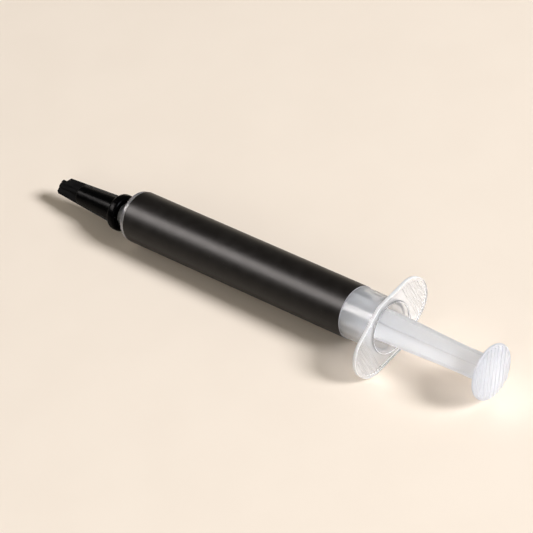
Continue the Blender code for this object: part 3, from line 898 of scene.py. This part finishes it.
@dataclass(frozen=True)
class PistonRubber(Finish):
    """Dull black rubber."""

    name: str = "piston_rubber"
    colour: Colour = (0.022, 0.022, 0.023)
    bloom_colour: Colour = (0.045, 0.045, 0.047)
    roughness: float = 0.55
    bloom_roughness: float = 0.67
    refraction: float = 1.52
    skin_depth: float = 0.02

    def make(self, axis: SyringeAxis) -> bpy.types.Material:
        """Build the material.

        Args:
            axis: The syringe's axis.

        Returns:
            The material.
        """
        material, sheet, place = self.start(axis)
        skin = sheet.use(Effects.grain(), Vector=place, Scale=6.0)
        sheet.feed_shader({
            "Base Color": sheet.mix_colour(skin["Patches"], self.colour, self.bloom_colour),
            "Roughness": sheet.ramp(skin["Patches"], 0.0, 1.0, self.roughness, self.bloom_roughness),
            "IOR": self.refraction,
            "Normal": sheet.bump(skin["Height"], self.skin_depth)})
        return material


@dataclass(frozen=True)
class GreyPaste(Finish):
    """Soft grey paste with faint swirls."""

    name: str = "paste_grey"
    colour: Colour = (0.33, 0.34, 0.35)
    swirl_colour: Colour = (0.42, 0.43, 0.44)
    roughness: float = 0.42
    dull_roughness: float = 0.52
    swirl_depth: float = 0.05

    def make(self, axis: SyringeAxis) -> bpy.types.Material:
        """Build the material.

        Args:
            axis: The syringe's axis.

        Returns:
            The material.
        """
        material, sheet, place = self.start(axis)
        swirl = sheet.use(Effects.streaks(), Vector=place, Scale=0.7, Stretch=0.6)
        skin = sheet.use(Effects.grain(), Vector=place, Scale=4.0)
        sheet.feed_shader({
            "Base Color": sheet.mix_colour(swirl["Mask"], self.colour, self.swirl_colour),
            "Roughness": sheet.ramp(skin["Patches"], 0.0, 1.0, self.roughness, self.dull_roughness),
            "Normal": sheet.bump(sheet.sum(swirl["Height"], skin["Height"]), self.swirl_depth)})
        return material


class Piece(ABC):
    """What every piece of the syringe shares: its names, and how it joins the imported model."""

    node: ClassVar[str]
    body: ClassVar[Body]
    slot: ClassVar[str]
    finish: ClassVar[Finish]

    @abstractmethod
    def model(self) -> bpy.types.Object:
        """Model the piece in its own millimetres."""

    def build(self, axis: SyringeAxis) -> bpy.types.Object:
        """Model the piece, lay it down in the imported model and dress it.

        Args:
            axis: The syringe's axis.

        Returns:
            The finished piece.
        """
        obj = self.model()
        Workbench.set_down(obj, axis.matrix())
        Workbench.smooth(obj)
        self.dress(obj, axis)
        LOG.info("%s: %d faces, %s", obj.name, len(obj.data.polygons), self.finish.name)
        return obj

    def dress(self, obj: bpy.types.Object, axis: SyringeAxis) -> None:
        """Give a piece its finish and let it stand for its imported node.

        Args:
            obj: The piece in its place.
            axis: The syringe's axis.
        """
        obj.name = f"{self.node}_detailed"
        obj.data.name = obj.name
        obj.data.materials.clear()
        obj.data.materials.append(self.finish.make(axis))
        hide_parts(self.node)
        self.follow(obj, axis)

    def follow(self, obj: bpy.types.Object, axis: SyringeAxis) -> None:
        """Let a piece ride on its body."""
        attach(obj, self.body.value)


@dataclass
class Nozzle:
    """The slip taper at the barrel's front, a little off its centre."""

    shoulder: float = -58.5
    bore_floor: float = -57.3
    tip: float = -68.3
    root_radius: float = 2.9
    root_length: float = 0.5
    neck_radius: float = 2.259
    tip_radius: float = 1.98
    tip_round: float = 0.2
    channel_radius: float = 0.95
    beyond: float = 1.2
    offset: float = 0.73
    offset_angle: float = 305.0

    def centre(self) -> Vector:
        """Where the nozzle's own axis stands."""
        angle = math.radians(self.offset_angle)
        return Vector((math.cos(angle), math.sin(angle), 0.0)) * self.offset

    def blank(self) -> bpy.types.Object:
        """The nozzle's outside, from inside the front wall to its tip.

        Returns:
            The solid.
        """
        inside = (self.shoulder + self.bore_floor) / 2
        root = self.root_length
        fillet = arc(self.neck_radius + root, self.shoulder - root, root, 90.0, 180.0)
        tip = arc(self.tip_radius - self.tip_round, self.tip + self.tip_round, self.tip_round, 0.0, -90.0, 5)
        profile = [(0.0, inside), (self.neck_radius + root, inside)] + fillet + tip + [(0.0, self.tip)]
        return Workbench.turn("nozzle", profile, SMALL_STEPS, centre=self.centre())

    def channel(self) -> bpy.types.Object:
        """The cutter for the channel through the nozzle.

        Returns:
            The cutter.
        """
        high = self.bore_floor + self.beyond
        low = self.tip - self.beyond
        profile = [(0.0, high), (self.channel_radius, high), (self.channel_radius, low), (0.0, low)]
        return Workbench.turn("channel", profile, SMALL_STEPS, centre=self.centre())


@dataclass
class Flange:
    """The lozenge-shaped finger flange with its raised rim, mouth collar and grip ribs."""

    rear: float = 8.5
    thickness: float = 0.8
    ear_distance: float = 5.9
    ear_radius: float = 5.2
    corner_distance: float = 2.7
    corner_radius: float = 3.95
    edge_round: float = 0.14
    rim_width: float = 0.7
    pocket_depth: float = 0.18
    pocket_round: float = 0.07
    collar_radius: float = 5.35
    rib_count: int = 7
    rib_pitch: float = 0.6
    rib_width: float = 0.25
    rib_round: float = 0.06
    rib_drop: float = 0.02

    @property
    def front(self) -> float:
        """Where the flange's front face lies."""
        return self.rear - self.thickness

    def turn(self) -> float:
        """Angle of the flange's long axis, which lays one straight side level.

        Returns:
            The angle from straight down.
        """
        reach = math.hypot(self.ear_distance, self.corner_distance)
        lean = math.atan2(self.corner_distance, self.ear_distance)
        return RIGHT_ANGLE + lean + math.asin((self.corner_radius - self.ear_radius) / reach)

    def discs(self, inset: float) -> list[tuple[float, float, float]]:
        """The ear discs and corner discs of the lozenge.

        Args:
            inset: How far the outline is drawn in.

        Returns:
            Each disc as (x, y, radius).
        """
        ear = self.ear_radius - inset
        corner = self.corner_radius - inset
        return [(self.ear_distance, 0.0, ear), (-self.ear_distance, 0.0, ear),
                (0.0, self.corner_distance, corner), (0.0, -self.corner_distance, corner)]

    def inside(self, point: Vector) -> float:
        """How far a point lies inside the lozenge's outline.

        Args:
            point: The point in the syringe's own millimetres.

        Returns:
            The distance to the nearest side, negative outside.
        """
        nearest = math.inf
        for step in range(TURN_STEPS):
            angle = math.tau * step / TURN_STEPS
            reach = max(x * math.cos(angle) + y * math.sin(angle) + r for x, y, r in self.discs(0.0))
            way = angle + self.turn()
            nearest = min(nearest, reach - point.x * math.cos(way) - point.y * math.sin(way))
        return nearest

    def ribs(self, top: float) -> bpy.types.Object:
        """The grip ribs across both ears: one bar, copied and joined.

        Args:
            top: Where the ribs end, at the rim's height.

        Returns:
            All ribs in one object.
        """
        first = self.ear_distance + self.ear_radius - self.rim_width - self.rib_pitch
        deep = self.thickness
        size = Vector((self.rib_width, 2 * self.ear_radius, deep))
        places = [side * (first - i * self.rib_pitch) for side in (-1, 1) for i in range(self.rib_count)]
        bar = Workbench.bar("rib", size, Vector((places[0], 0.0, top - deep / 2)), self.rib_round)
        ribs = Workbench.repeat(bar, [Vector((x - places[0], 0.0, 0.0)) for x in places[1:]])
        Workbench.set_down(ribs, Matrix.Rotation(self.turn(), 4, "Z"))
        return ribs

    def build(self) -> bpy.types.Object:
        """The flange with its shallow pocket.

        Returns:
            The solid.
        """
        turn = self.turn()
        blank = Workbench.belt_slab("flange", self.discs(0.0), self.front, self.rear, turn, self.edge_round)
        floor = self.rear - self.pocket_depth
        above = self.rear + self.thickness
        inner = self.discs(self.rim_width)
        pocket = Workbench.belt_slab("pocket", inner, floor, above, turn, self.pocket_round)
        collar_shape = [(0.0, above + BEYOND), (self.collar_radius, above + BEYOND),
                        (self.collar_radius, self.front), (0.0, self.front)]
        collar = Workbench.turn("collar", collar_shape, TURN_STEPS)
        Workbench.combine(pocket, Operation.CUT, collar, self.ribs(self.rear - self.rib_drop))
        Workbench.combine(blank, Operation.CUT, pocket)
        return blank


@dataclass
class Barrel(Piece):
    """The clear barrel: tube, front wall, nozzle, mouth and flange in one moulding."""

    node: ClassVar[str] = "barrel"
    body: ClassVar[Body] = Body.BARREL
    slot: ClassVar[str] = "clear_plastic"
    finish: ClassVar[Finish] = ClearPlastic()
    frosting: ClassVar[Finish] = ClearPlastic(
        name="clear_plastic_edges", transmission=0.25, roughness=0.32, streak_roughness=0.40)
    bead_steps: ClassVar[tuple[float, ...]] = (-1.0, -0.6, -0.3, 0.0, 0.3, 0.6, 1.0)

    flange: Flange = field(default_factory=Flange)
    nozzle: Nozzle = field(default_factory=Nozzle)
    radius: float = 5.15
    bore_radius: float = 4.35
    front: float = -58.0
    shoulder_round: float = 0.45
    shoulder_end: float = -70.0
    root_fillet: float = 0.5
    bore_cone_length: float = 0.8
    bore_cone_radius: float = 1.9
    mouth_radius: float = 5.0
    mouth_depth: float = 1.0
    mouth_round: float = 0.12
    bead: float = 5.0
    bead_height: float = 0.15
    bead_length: float = 0.6
    frosted_from: float = 7.45
    frosted_lip: float = 8.3
    flat_lean: float = 0.95
    frost_margin: float = 0.08

    def tube(self) -> bpy.types.Object:
        """The barrel's outside, with a fillet under the flange and a rounded shoulder.

        Returns:
            The solid.
        """
        flange, nozzle = self.flange, self.nozzle
        inside = (flange.front + flange.rear) / 2
        fillet_centre = self.radius + self.root_fillet
        profile = [(0.0, inside), (fillet_centre, inside)]
        profile += arc(fillet_centre, flange.front - self.root_fillet, self.root_fillet, 90.0, 180.0)
        profile += arc(self.radius - self.shoulder_round, self.front + self.shoulder_round,
                       self.shoulder_round, 0.0, self.shoulder_end)
        profile += [(nozzle.root_radius, nozzle.shoulder), (0.0, nozzle.shoulder)]
        return Workbench.turn("barrel", profile, TURN_STEPS)

    def bore(self) -> bpy.types.Object:
        """The cutter for mouth, retaining bead, bore and front cone.

        Returns:
            The cutter.
        """
        rear, floor = self.flange.rear, self.nozzle.bore_floor
        slope = (self.mouth_radius - self.bore_radius) / self.mouth_depth
        half = self.bead_length / 2
        lip_radius = self.mouth_radius + self.mouth_round
        profile = [(0.0, rear + self.mouth_depth), (lip_radius, rear + self.mouth_depth)]
        profile += arc(self.mouth_radius + self.mouth_round * (1 + slope), rear - self.mouth_round,
                       self.mouth_round, 90.0, 180.0, 4)
        profile += [(self.bore_radius, rear - self.mouth_depth)]
        profile += [(self.bore_radius - self.bead_height * (0.5 + 0.5 * math.cos(math.pi * t)),
                     self.bead - half * t) for t in self.bead_steps]
        profile += [(self.bore_radius, floor + self.bore_cone_length),
                    (self.bore_cone_radius, floor), (0.0, floor)]
        return Workbench.turn("bore", profile, TURN_STEPS)

    def model(self) -> bpy.types.Object:
        """Join tube, flange and nozzle, and open the bore and the channel.

        Returns:
            The solid.
        """
        barrel = self.tube()
        Workbench.combine(barrel, Operation.JOIN, self.flange.build(), self.nozzle.blank())
        Workbench.combine(barrel, Operation.CUT, self.bore(), self.nozzle.channel())
        return barrel

    def dress(self, obj: bpy.types.Object, axis: SyringeAxis) -> None:
        """Dress the barrel, and frost the flange's edges, its pocket walls and the mouth's lip.

        Args:
            obj: The barrel in its place.
            axis: The syringe's axis.
        """
        super().dress(obj, axis)
        obj.data.materials.append(self.frosting.make(axis))
        to_own = axis.matrix().inverted()
        for face in obj.data.polygons:
            centre = to_own @ face.center
            leans = abs(face.normal.dot(axis.direction)) < self.flat_lean
            if leans and centre.z > self.frosted_from:
                on_lip = math.hypot(centre.x, centre.y) < self.radius and centre.z > self.frosted_lip
                if on_lip or self.flange.inside(centre) < self.flange.rim_width + self.frost_margin:
                    face.material_index = 1


@dataclass
class Label(Piece):
    """The black film round the barrel, whose ends overlap in a fine seam low on the far side."""

    node: ClassVar[str] = "label"
    body: ClassVar[Body] = Body.BARREL
    slot: ClassVar[str] = "label_black"
    finish: ClassVar[Finish] = BlackFilm()

    inner_radius: float = 5.18
    outer_radius: float = 5.3
    length: float = LABEL_LENGTH
    edge_round: float = 0.05
    seam_height: float = 0.07
    seam_width: float = 34.0
    seam_angle: float = 62.0

    def seam(self) -> bpy.types.Object:
        """The overlap, a section spun part of the way round.

        Returns:
            The solid.
        """
        low, high = -self.length + self.edge_round, -self.edge_round
        middle = (self.inner_radius + self.outer_radius) / 2
        outer = self.outer_radius + self.seam_height
        points = [Vector((middle, 0.0, low)), Vector((middle, 0.0, high)),
                  Vector((outer, 0.0, high)), Vector((outer, 0.0, low))]
        seam = Workbench.draw_chain("seam", points, Closing.FACE)
        Workbench.spin(SMALL_STEPS // 4, math.radians(self.seam_width))
        Workbench.clear_selection()
        Workbench.set_down(seam, Matrix.Rotation(math.radians(self.seam_angle), 4, "Z"))
        return seam

    def model(self) -> bpy.types.Object:
        """Turn the sleeve and lay the overlap on it.

        Returns:
            The solid.
        """
        r = self.edge_round
        profile = [(self.inner_radius, -self.length), (self.inner_radius, 0.0)]
        profile += arc(self.outer_radius - r, -r, r, 90.0, 0.0, 4)
        profile += arc(self.outer_radius - r, r - self.length, r, 0.0, -90.0, 4)
        label = Workbench.turn("label", profile, TURN_STEPS, Closing.LOOP)
        Workbench.combine(label, Operation.JOIN, self.seam())
        return label


@dataclass
class Paste(Piece):
    """The column of paste in front of the piston."""

    node: ClassVar[str] = "paste"
    body: ClassVar[Body] = Body.BARREL
    slot: ClassVar[str] = "paste_grey"
    finish: ClassVar[Finish] = GreyPaste()

    rear: float = -37.3
    front: float = -57.2
    radius: float = 4.28
    cone_radius: float = 1.9
    cone_edge_radius: float = 4.1
    cone_edge: float = -56.56
    rear_round: float = 0.04
    follow_barrel: float = -50.0
    follow_plunger: float = -45.0

    def model(self) -> bpy.types.Object:
        """Turn the paste, whose corners lie only at its ends.

        Returns:
            The solid.
        """
        r = self.rear_round
        profile = [(0.0, self.rear)] + arc(self.radius - r, self.rear - r, r, 90.0, 0.0, 3)
        profile += [(self.cone_edge_radius, self.cone_edge), (self.cone_radius, self.front), (0.0, self.front)]
        return Workbench.turn("paste", profile, SMALL_STEPS)

    def follow(self, obj: bpy.types.Object, axis: SyringeAxis) -> None:
        """Keep the paste where it is laid, with its place baked into its mesh."""
        axis.world(0.0, 0.0, self.follow_barrel)
        axis.world(0.0, 0.0, self.follow_plunger)
        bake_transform(obj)


@dataclass
class Piston(Piece):
    """The rubber piston with two sealing ribs, moulded over the rod's head."""

    node: ClassVar[str] = "piston"
    body: ClassVar[Body] = Body.PLUNGER
    slot: ClassVar[str] = "piston_rubber"
    finish: ClassVar[Finish] = PistonRubber()

    front: float = -37.2
    rear: float = -29.6
    radius: float = 4.32
    waist_radius: float = 3.92
    rib_width: float = 0.9
    rib_slope: float = 0.45
    front_cone: float = 0.8
    front_flat_radius: float = 1.5
    socket_front: float = -34.4
    socket_rear: float = -31.2
    socket_radius: float = 2.75
    neck_radius: float = 1.75
    edge_round: float = 0.12
    edge_angle: float = 20.0

    def model(self) -> bpy.types.Object:
        """Turn the piston with its socket, and round its edges.

        Returns:
            The solid.
        """
        rear_rib = self.rear - self.rib_slope
        front_rib = self.front + self.front_cone + self.rib_slope
        profile = [(0.0, self.socket_front), (self.socket_radius, self.socket_front),
                   (self.socket_radius, self.socket_rear), (self.neck_radius, self.socket_rear),
                   (self.neck_radius, self.rear), (self.waist_radius, self.rear),
                   (self.radius, rear_rib), (self.radius, rear_rib - self.rib_width),
                   (self.waist_radius, rear_rib - self.rib_width - self.rib_slope),
                   (self.waist_radius, front_rib + self.rib_width + self.rib_slope),
                   (self.radius, front_rib + self.rib_width), (self.radius, front_rib),
                   (self.waist_radius, front_rib - self.rib_slope),
                   (self.front_flat_radius, self.front), (0.0, self.front)]
        piston = Workbench.turn("piston", profile, SMALL_STEPS)
        Workbench.round_edges(piston, self.edge_round, math.radians(self.edge_angle))
        return piston


@dataclass
class PlungerRod(Piece):
    """The milky rod: head and neck, front plate, crossed tapering fins and the ridged thumb disc."""

    node: ClassVar[str] = "plunger_rod"
    body: ClassVar[Body] = Body.PLUNGER
    slot: ClassVar[str] = "milky_plastic"
    finish: ClassVar[Finish] = MilkyPlastic()
    dome_steps: ClassVar[tuple[float, ...]] = (0.0, 0.3, 0.6, 0.8)

    plate_front: float = -29.3
    plate_rear: float = -28.1
    plate_radius: float = 4.05
    neck_radius: float = 1.45
    head_rear: float = -31.5
    head_front: float = -34.1
    head_radius: float = 2.45
    head_cone: float = 1.7
    fin_thickness: float = 0.8
    fin_round: float = 0.16
    fin_turn: float = 171.0
    fin_radii: tuple[float, ...] = (4.0, 4.0, 3.8, 3.34, 3.26)
    fin_places: tuple[float, ...] = (-28.7, 8.0, 13.0, 22.0, 31.75)
    disc_radius: float = 5.49
    disc_face: float = 32.0
    disc_back: float = 31.5
    disc_round: float = 0.2
    disc_cone: float = 0.45
    dome_height: float = 0.12
    ridge_count: int = 9
    ridge_pitch: float = 1.1
    ridge_width: float = 0.46
    ridge_top: float = 32.32
    ridge_round: float = 0.16
    ridge_margin: float = 0.35
    ridge_turn: float = 155.6

    def core(self) -> bpy.types.Object:
        """The head, neck and front plate.

        Returns:
            The solid.
        """
        profile = [(0.0, self.plate_rear), (self.plate_radius, self.plate_rear),
                   (self.plate_radius, self.plate_front), (self.neck_radius, self.plate_front),
                   (self.neck_radius, self.head_rear), (self.head_radius, self.head_rear),
                   (self.head_radius, self.head_front + self.head_cone),
                   (self.neck_radius, self.head_front), (0.0, self.head_front)]
        core = Workbench.turn("plunger_rod", profile, SMALL_STEPS)
        Workbench.round_edges(core, self.fin_round / 2)
        return core

    def fin(self, turn: float) -> bpy.types.Object:
        """One full-width fin.

        Args:
            turn: Its angle about the axis in degrees.

        Returns:
            The solid.
        """
        side = list(zip(self.fin_radii, self.fin_places))
        outline = side + [(-x, z) for x, z in reversed(side)]
        return Workbench.plate("fin", outline, self.fin_thickness, math.radians(turn), self.fin_round)

    def disc(self) -> bpy.types.Object:
        """The thumb disc with rounded edge, faint dome and a cone behind it.

        Returns:
            The solid.
        """
        r = self.disc_round
        profile = [(self.disc_radius * t, self.disc_face + self.dome_height * (1 - t * t))
                   for t in self.dome_steps]
        profile += arc(self.disc_radius - r, self.disc_face - r, r, 90.0, 0.0, 6)
        profile += arc(self.disc_radius - r, self.disc_back + r, r, 0.0, -90.0, 6)
        profile += [(self.fin_radii[-1], self.disc_back - self.disc_cone / 2),
                    (0.0, self.disc_back - self.disc_cone)]
        return Workbench.turn("thumb_disc", profile, TURN_STEPS)

    def ridges(self) -> bpy.types.Object:
        """Parallel ridges: one bar copied across the disc, kept only inside its edge.

        Returns:
            All ridges in one object.
        """
        reach = self.disc_radius - self.ridge_margin
        low = (self.disc_face + self.disc_back) / 2
        middle = (low + self.ridge_top) / 2
        first = -(self.ridge_count - 1) / 2 * self.ridge_pitch
        size = Vector((2 * self.disc_radius, self.ridge_width, self.ridge_top - low))
        bar = Workbench.bar("ridge", size, Vector((0.0, first, middle)), self.ridge_round)
        offsets = [Vector((0.0, i * self.ridge_pitch, 0.0)) for i in range(1, self.ridge_count)]
        ridges = Workbench.repeat(bar, offsets)
        r = self.ridge_round
        limit = [(0.0, self.ridge_top)] + arc(reach - r, self.ridge_top - r, r, 90.0, 0.0, 4)
        limit += [(reach, low - BEYOND), (0.0, low - BEYOND)]
        Workbench.combine(ridges, Operation.KEEP_SHARED, Workbench.turn("limit", limit, TURN_STEPS))
        Workbench.set_down(ridges, Matrix.Rotation(math.radians(self.ridge_turn), 4, "Z"))
        return ridges

    def model(self) -> bpy.types.Object:
        """Join core, fins, disc and ridges.

        Returns:
            The solid.
        """
        rod = self.core()
        Workbench.combine(rod, Operation.JOIN, self.fin(self.fin_turn), self.fin(self.fin_turn + 90.0),
                          self.disc(), self.ridges())
        return rod


@dataclass
class TipCap(Piece):
    """The black push-on cap: a hollow hub over the nozzle, a skirt behind it and a winged grip in front."""

    node: ClassVar[str] = "tip_cap"
    body: ClassVar[Body] = Body.CAP
    slot: ClassVar[str] = "cap_black"
    finish: ClassVar[Finish] = BlackPlastic()

    rear: float = -60.7
    skirt_front: float = -62.9
    skirt_radius: float = 3.8
    skirt_round: float = 0.75
    socket_floor: float = -68.7
    socket_mouth_radius: float = 2.258
    socket_floor_radius: float = 2.018
    mouth_flare: float = 0.35
    hub_rear_radius: float = 2.62
    hub_front_radius: float = 2.05
    hub_fillet: float = 0.4
    hub_front: float = -74.0
    hub_dome: float = 0.9
    dome_steps: int = 10
    tip: float = -79.7
    wing_thickness: float = 0.9
    wing_round: float = 0.13
    wing_tip_radius: float = 1.3
    low_tip_radius: float = 1.72
    step_radius: float = 2.15
    step_distance: float = 1.2
    step_length: float = 0.8
    wing_rear_radius: float = 2.95
    tip_chamfer: float = 0.45
    cross_radius: float = 1.25
    cross_tip_radius: float = 0.95
    guard_front: float = 0.4
    guard_reach: float = 3.0
    guard_inset: float = 0.05
    guard_wall: float = 0.02
    turn: float = 122.0

    @property
    def centre(self) -> Vector:
        """Where the nozzle's axis stands."""
        return Nozzle().centre()

    def hub(self) -> bpy.types.Object:
        """The cap's turned body with its blind socket.

        Returns:
            The solid.
        """
        r = self.skirt_round
        flare = self.rear - self.mouth_flare
        profile = [(0.0, self.socket_floor), (self.socket_floor_radius, self.socket_floor),
                   (self.socket_mouth_radius, flare), (self.socket_mouth_radius + self.mouth_flare, self.rear)]
        profile += arc(self.skirt_radius - r, self.rear - r, r, 90.0, 0.0)
        profile += arc(self.skirt_radius - r, self.skirt_front + r, r, 0.0, -90.0)
        f = self.hub_fillet
        profile += arc(self.hub_rear_radius + f, self.skirt_front - f, f, 90.0, 180.0)
        dome = self.hub_front + self.hub_dome
        quarter = [math.radians(90.0 * i / self.dome_steps) for i in range(self.dome_steps)]
        profile += [(self.hub_front_radius * math.cos(a), dome - self.hub_dome * math.sin(a)) for a in quarter]
        profile += [(0.0, self.hub_front)]
        return Workbench.turn("tip_cap", profile, TURN_STEPS, centre=self.centre)

    def wings(self) -> bpy.types.Object:
        """The long wings, one with a step near the tip, hollowed clear of the socket.

        Returns:
            The solid.
        """
        rear = (self.rear + self.skirt_front) / 2
        step = self.tip + self.step_distance
        chamfer = self.tip_chamfer
        outline = [(self.wing_tip_radius - chamfer, self.tip), (self.wing_tip_radius, self.tip + chamfer / 2),
                   (self.wing_tip_radius, step), (self.step_radius, step + self.step_length),
                   (self.wing_rear_radius, rear), (-self.wing_rear_radius, rear),
                   (-self.low_tip_radius, self.tip + chamfer), (chamfer - self.low_tip_radius, self.tip)]
        wings = Workbench.plate("wings", outline, self.wing_thickness, math.radians(self.turn),
                                self.wing_round, self.centre)
        front, back = self.socket_floor - self.guard_front, rear + self.guard_reach
        guard_shape = [(0.0, back), (self.hub_rear_radius - self.guard_inset, back),
                       (self.socket_floor_radius + self.guard_wall, front), (0.0, front)]
        guard = Workbench.turn("guard", guard_shape, SMALL_STEPS, centre=self.centre)
        Workbench.combine(wings, Operation.CUT, guard)
        return wings

    def cross(self) -> bpy.types.Object:
        """The short fin pair across the wings.

        Returns:
            The solid.
        """
        chamfer = self.tip_chamfer
        side = [(self.cross_tip_radius - chamfer, self.tip), (self.cross_tip_radius, self.tip + chamfer),
                (self.cross_radius, self.tip + self.step_distance),
                (self.cross_radius, self.hub_front + self.hub_dome)]
        outline = side + [(-x, z) for x, z in reversed(side)]
        return Workbench.plate("cross", outline, self.wing_thickness, math.radians(self.turn + 90.0),
                               self.wing_round, self.centre)

    def model(self) -> bpy.types.Object:
        """Join hub, wings and cross fins.

        Returns:
            The solid.
        """
        cap = self.hub()
        Workbench.combine(cap, Operation.JOIN, self.wings(), self.cross())
        return cap


@dataclass
class Table:
    """The plain cream surface that the syringe lies on."""

    size: float = 6.0
    colour: Colour = (0.966, 0.836, 0.696)
    patch_colour: Colour = (0.951, 0.821, 0.682)
    paper_scale: float = 900.0
    paper_depth: float = 0.01
    gloss: float = 0.2
    roughness: float = 0.75

    def build(self) -> bpy.types.Object:
        """Build the table.

        Returns:
            The table.
        """
        Workbench.clear_selection()
        bpy.ops.mesh.primitive_plane_add(size=self.size, location=(0.0, 0.0, 0.0))
        table = bpy.context.object
        table.name = "table"
        material = bpy.data.materials.new("cream_table")
        material.use_nodes = True
        sheet = NodeSheet(material.node_tree)
        place = sheet.node("TexCoord", {}).outputs["Object"]
        paper = sheet.use(Effects.grain(), Vector=place, Scale=self.paper_scale)
        sheet.feed_shader({
            "Base Color": sheet.mix_colour(paper["Patches"], self.colour, self.patch_colour),
            "Roughness": self.roughness,
            "Specular IOR Level": self.gloss,
            "Normal": sheet.bump(paper["Height"], self.paper_depth)})
        table.data.materials.append(material)
        LOG.info("table: %.1f m", self.size)
        return table


@dataclass
class SoftLight:
    """One soft studio lamp that the camera doesn't see."""

    name: str
    direction: Vector
    distance: float
    width: float
    height: float
    power: float
    colour: Colour = (1.0, 1.0, 1.0)
    aim: Vector = Vector((0.0, 0.0, 0.0))
    only_gloss: bool = False

    def build(self) -> bpy.types.Object:
        """Hang the lamp, turned towards its aim.

        Returns:
            The lamp.
        """
        Workbench.clear_selection()
        away = self.direction.normalized()
        bpy.ops.object.light_add(type="AREA", location=self.aim + away * self.distance)
        lamp = bpy.context.object
        lamp.name = self.name
        lamp.rotation_euler = away.to_track_quat("Z", "Y").to_euler()
        lamp.data.shape = "ELLIPSE"
        lamp.data.size = self.width
        lamp.data.size_y = self.height
        lamp.data.energy = self.power
        lamp.data.color = self.colour
        lamp.visible_camera = False
        lamp.visible_diffuse = not self.only_gloss
        lamp.visible_transmission = not self.only_gloss
        LOG.info("%s: %.1f W", self.name, self.power)
        return lamp


@dataclass
class Studio:
    """Plain pale surroundings, a soft key lamp at the thumb end and a soft panel over the cap end."""

    lamps: ClassVar[tuple[SoftLight, ...]] = (
        SoftLight("key_lamp", direction=Vector((0.800, 0.180, 0.572)), distance=2.1, width=0.60, height=0.60,
                  power=60.1, colour=(0.917, 0.943, 1.0)),
        SoftLight("fill_lamp", direction=Vector((0.45, -0.75, 0.48)), distance=1.5, width=0.8, height=0.8,
                  power=3.0),
        SoftLight("panel_lamp", direction=Vector((-0.58, -0.40, 0.70)), distance=0.9, width=0.62, height=0.32,
                  power=14.6, colour=(1.0, 0.94, 0.91), aim=Vector((-0.01, 0.0, 0.0)), only_gloss=True))

    sky_colour: Colour = (1.0, 0.95, 0.83)
    sky_strength: float = 0.19
    horizon_colour: Colour = (0.54, 0.515, 0.455)
    horizon_height: float = 0.16

    def surroundings(self) -> None:
        """A dim plain sky that turns pale at the horizon, like a backdrop behind the table."""
        world = bpy.data.worlds.new("studio")
        bpy.context.scene.world = world
        world.use_nodes = True
        sheet = NodeSheet(world.node_tree)
        place = sheet.node("TexCoord", {})
        height = sheet.ramp(sheet.along(place.outputs["Generated"]), 0.0, self.horizon_height)
        sky = tuple(value * self.sky_strength for value in self.sky_colour)
        light = world.node_tree.nodes["Background"]
        world.node_tree.links.new(sheet.mix_colour(height, self.horizon_colour, sky), light.inputs["Color"])

    def build(self) -> None:
        """Set up the surroundings and the lamps."""
        self.surroundings()
        for lamp in self.lamps:
            lamp.build()


@dataclass
class PhotoCamera:
    """The camera at the photograph's angle."""

    azimuth: float = 51.36894
    elevation: float = 42.02693
    roll: float = -15.357
    distance: float = 0.509049
    aim: Vector = Vector((-0.005631, 0.005398, 0.0))
    lens: float = 175.61
    sensor: float = 36.0

    def build(self) -> bpy.types.Object:
        """Place the camera and make it the scene's.

        Returns:
            The camera.
        """
        a, e = math.radians(self.azimuth), math.radians(self.elevation)
        back = Vector((math.sin(a) * math.cos(e), -math.cos(a) * math.cos(e), math.sin(e)))
        Workbench.clear_selection()
        bpy.ops.object.camera_add(location=self.aim + back * self.distance)
        camera = bpy.context.object
        level = back.to_track_quat("Z", "Y").to_matrix()
        camera.rotation_euler = (level @ Matrix.Rotation(math.radians(self.roll), 3, "Z")).to_euler()
        camera.data.lens = self.lens
        camera.data.sensor_width = self.sensor
        camera.data.clip_start = 0.01
        bpy.context.scene.camera = camera
        LOG.info("camera %.1f mm", self.lens)
        return camera


def main() -> None:
    """Build the syringe's pieces and the studio."""
    logging.basicConfig(level=logging.INFO, format="%(name)s: %(message)s")
    axis = SyringeAxis.from_frame()
    for piece in (Barrel(), Label(), Paste(), Piston(), PlungerRod(), TipCap()):
        piece.build(axis)
    Table().build()
    Studio().build()
    PhotoCamera().build()
    bpy.context.scene.view_settings.view_transform = "Standard"
    bpy.context.view_layer.update()


if __name__ == "__main__":
    main()
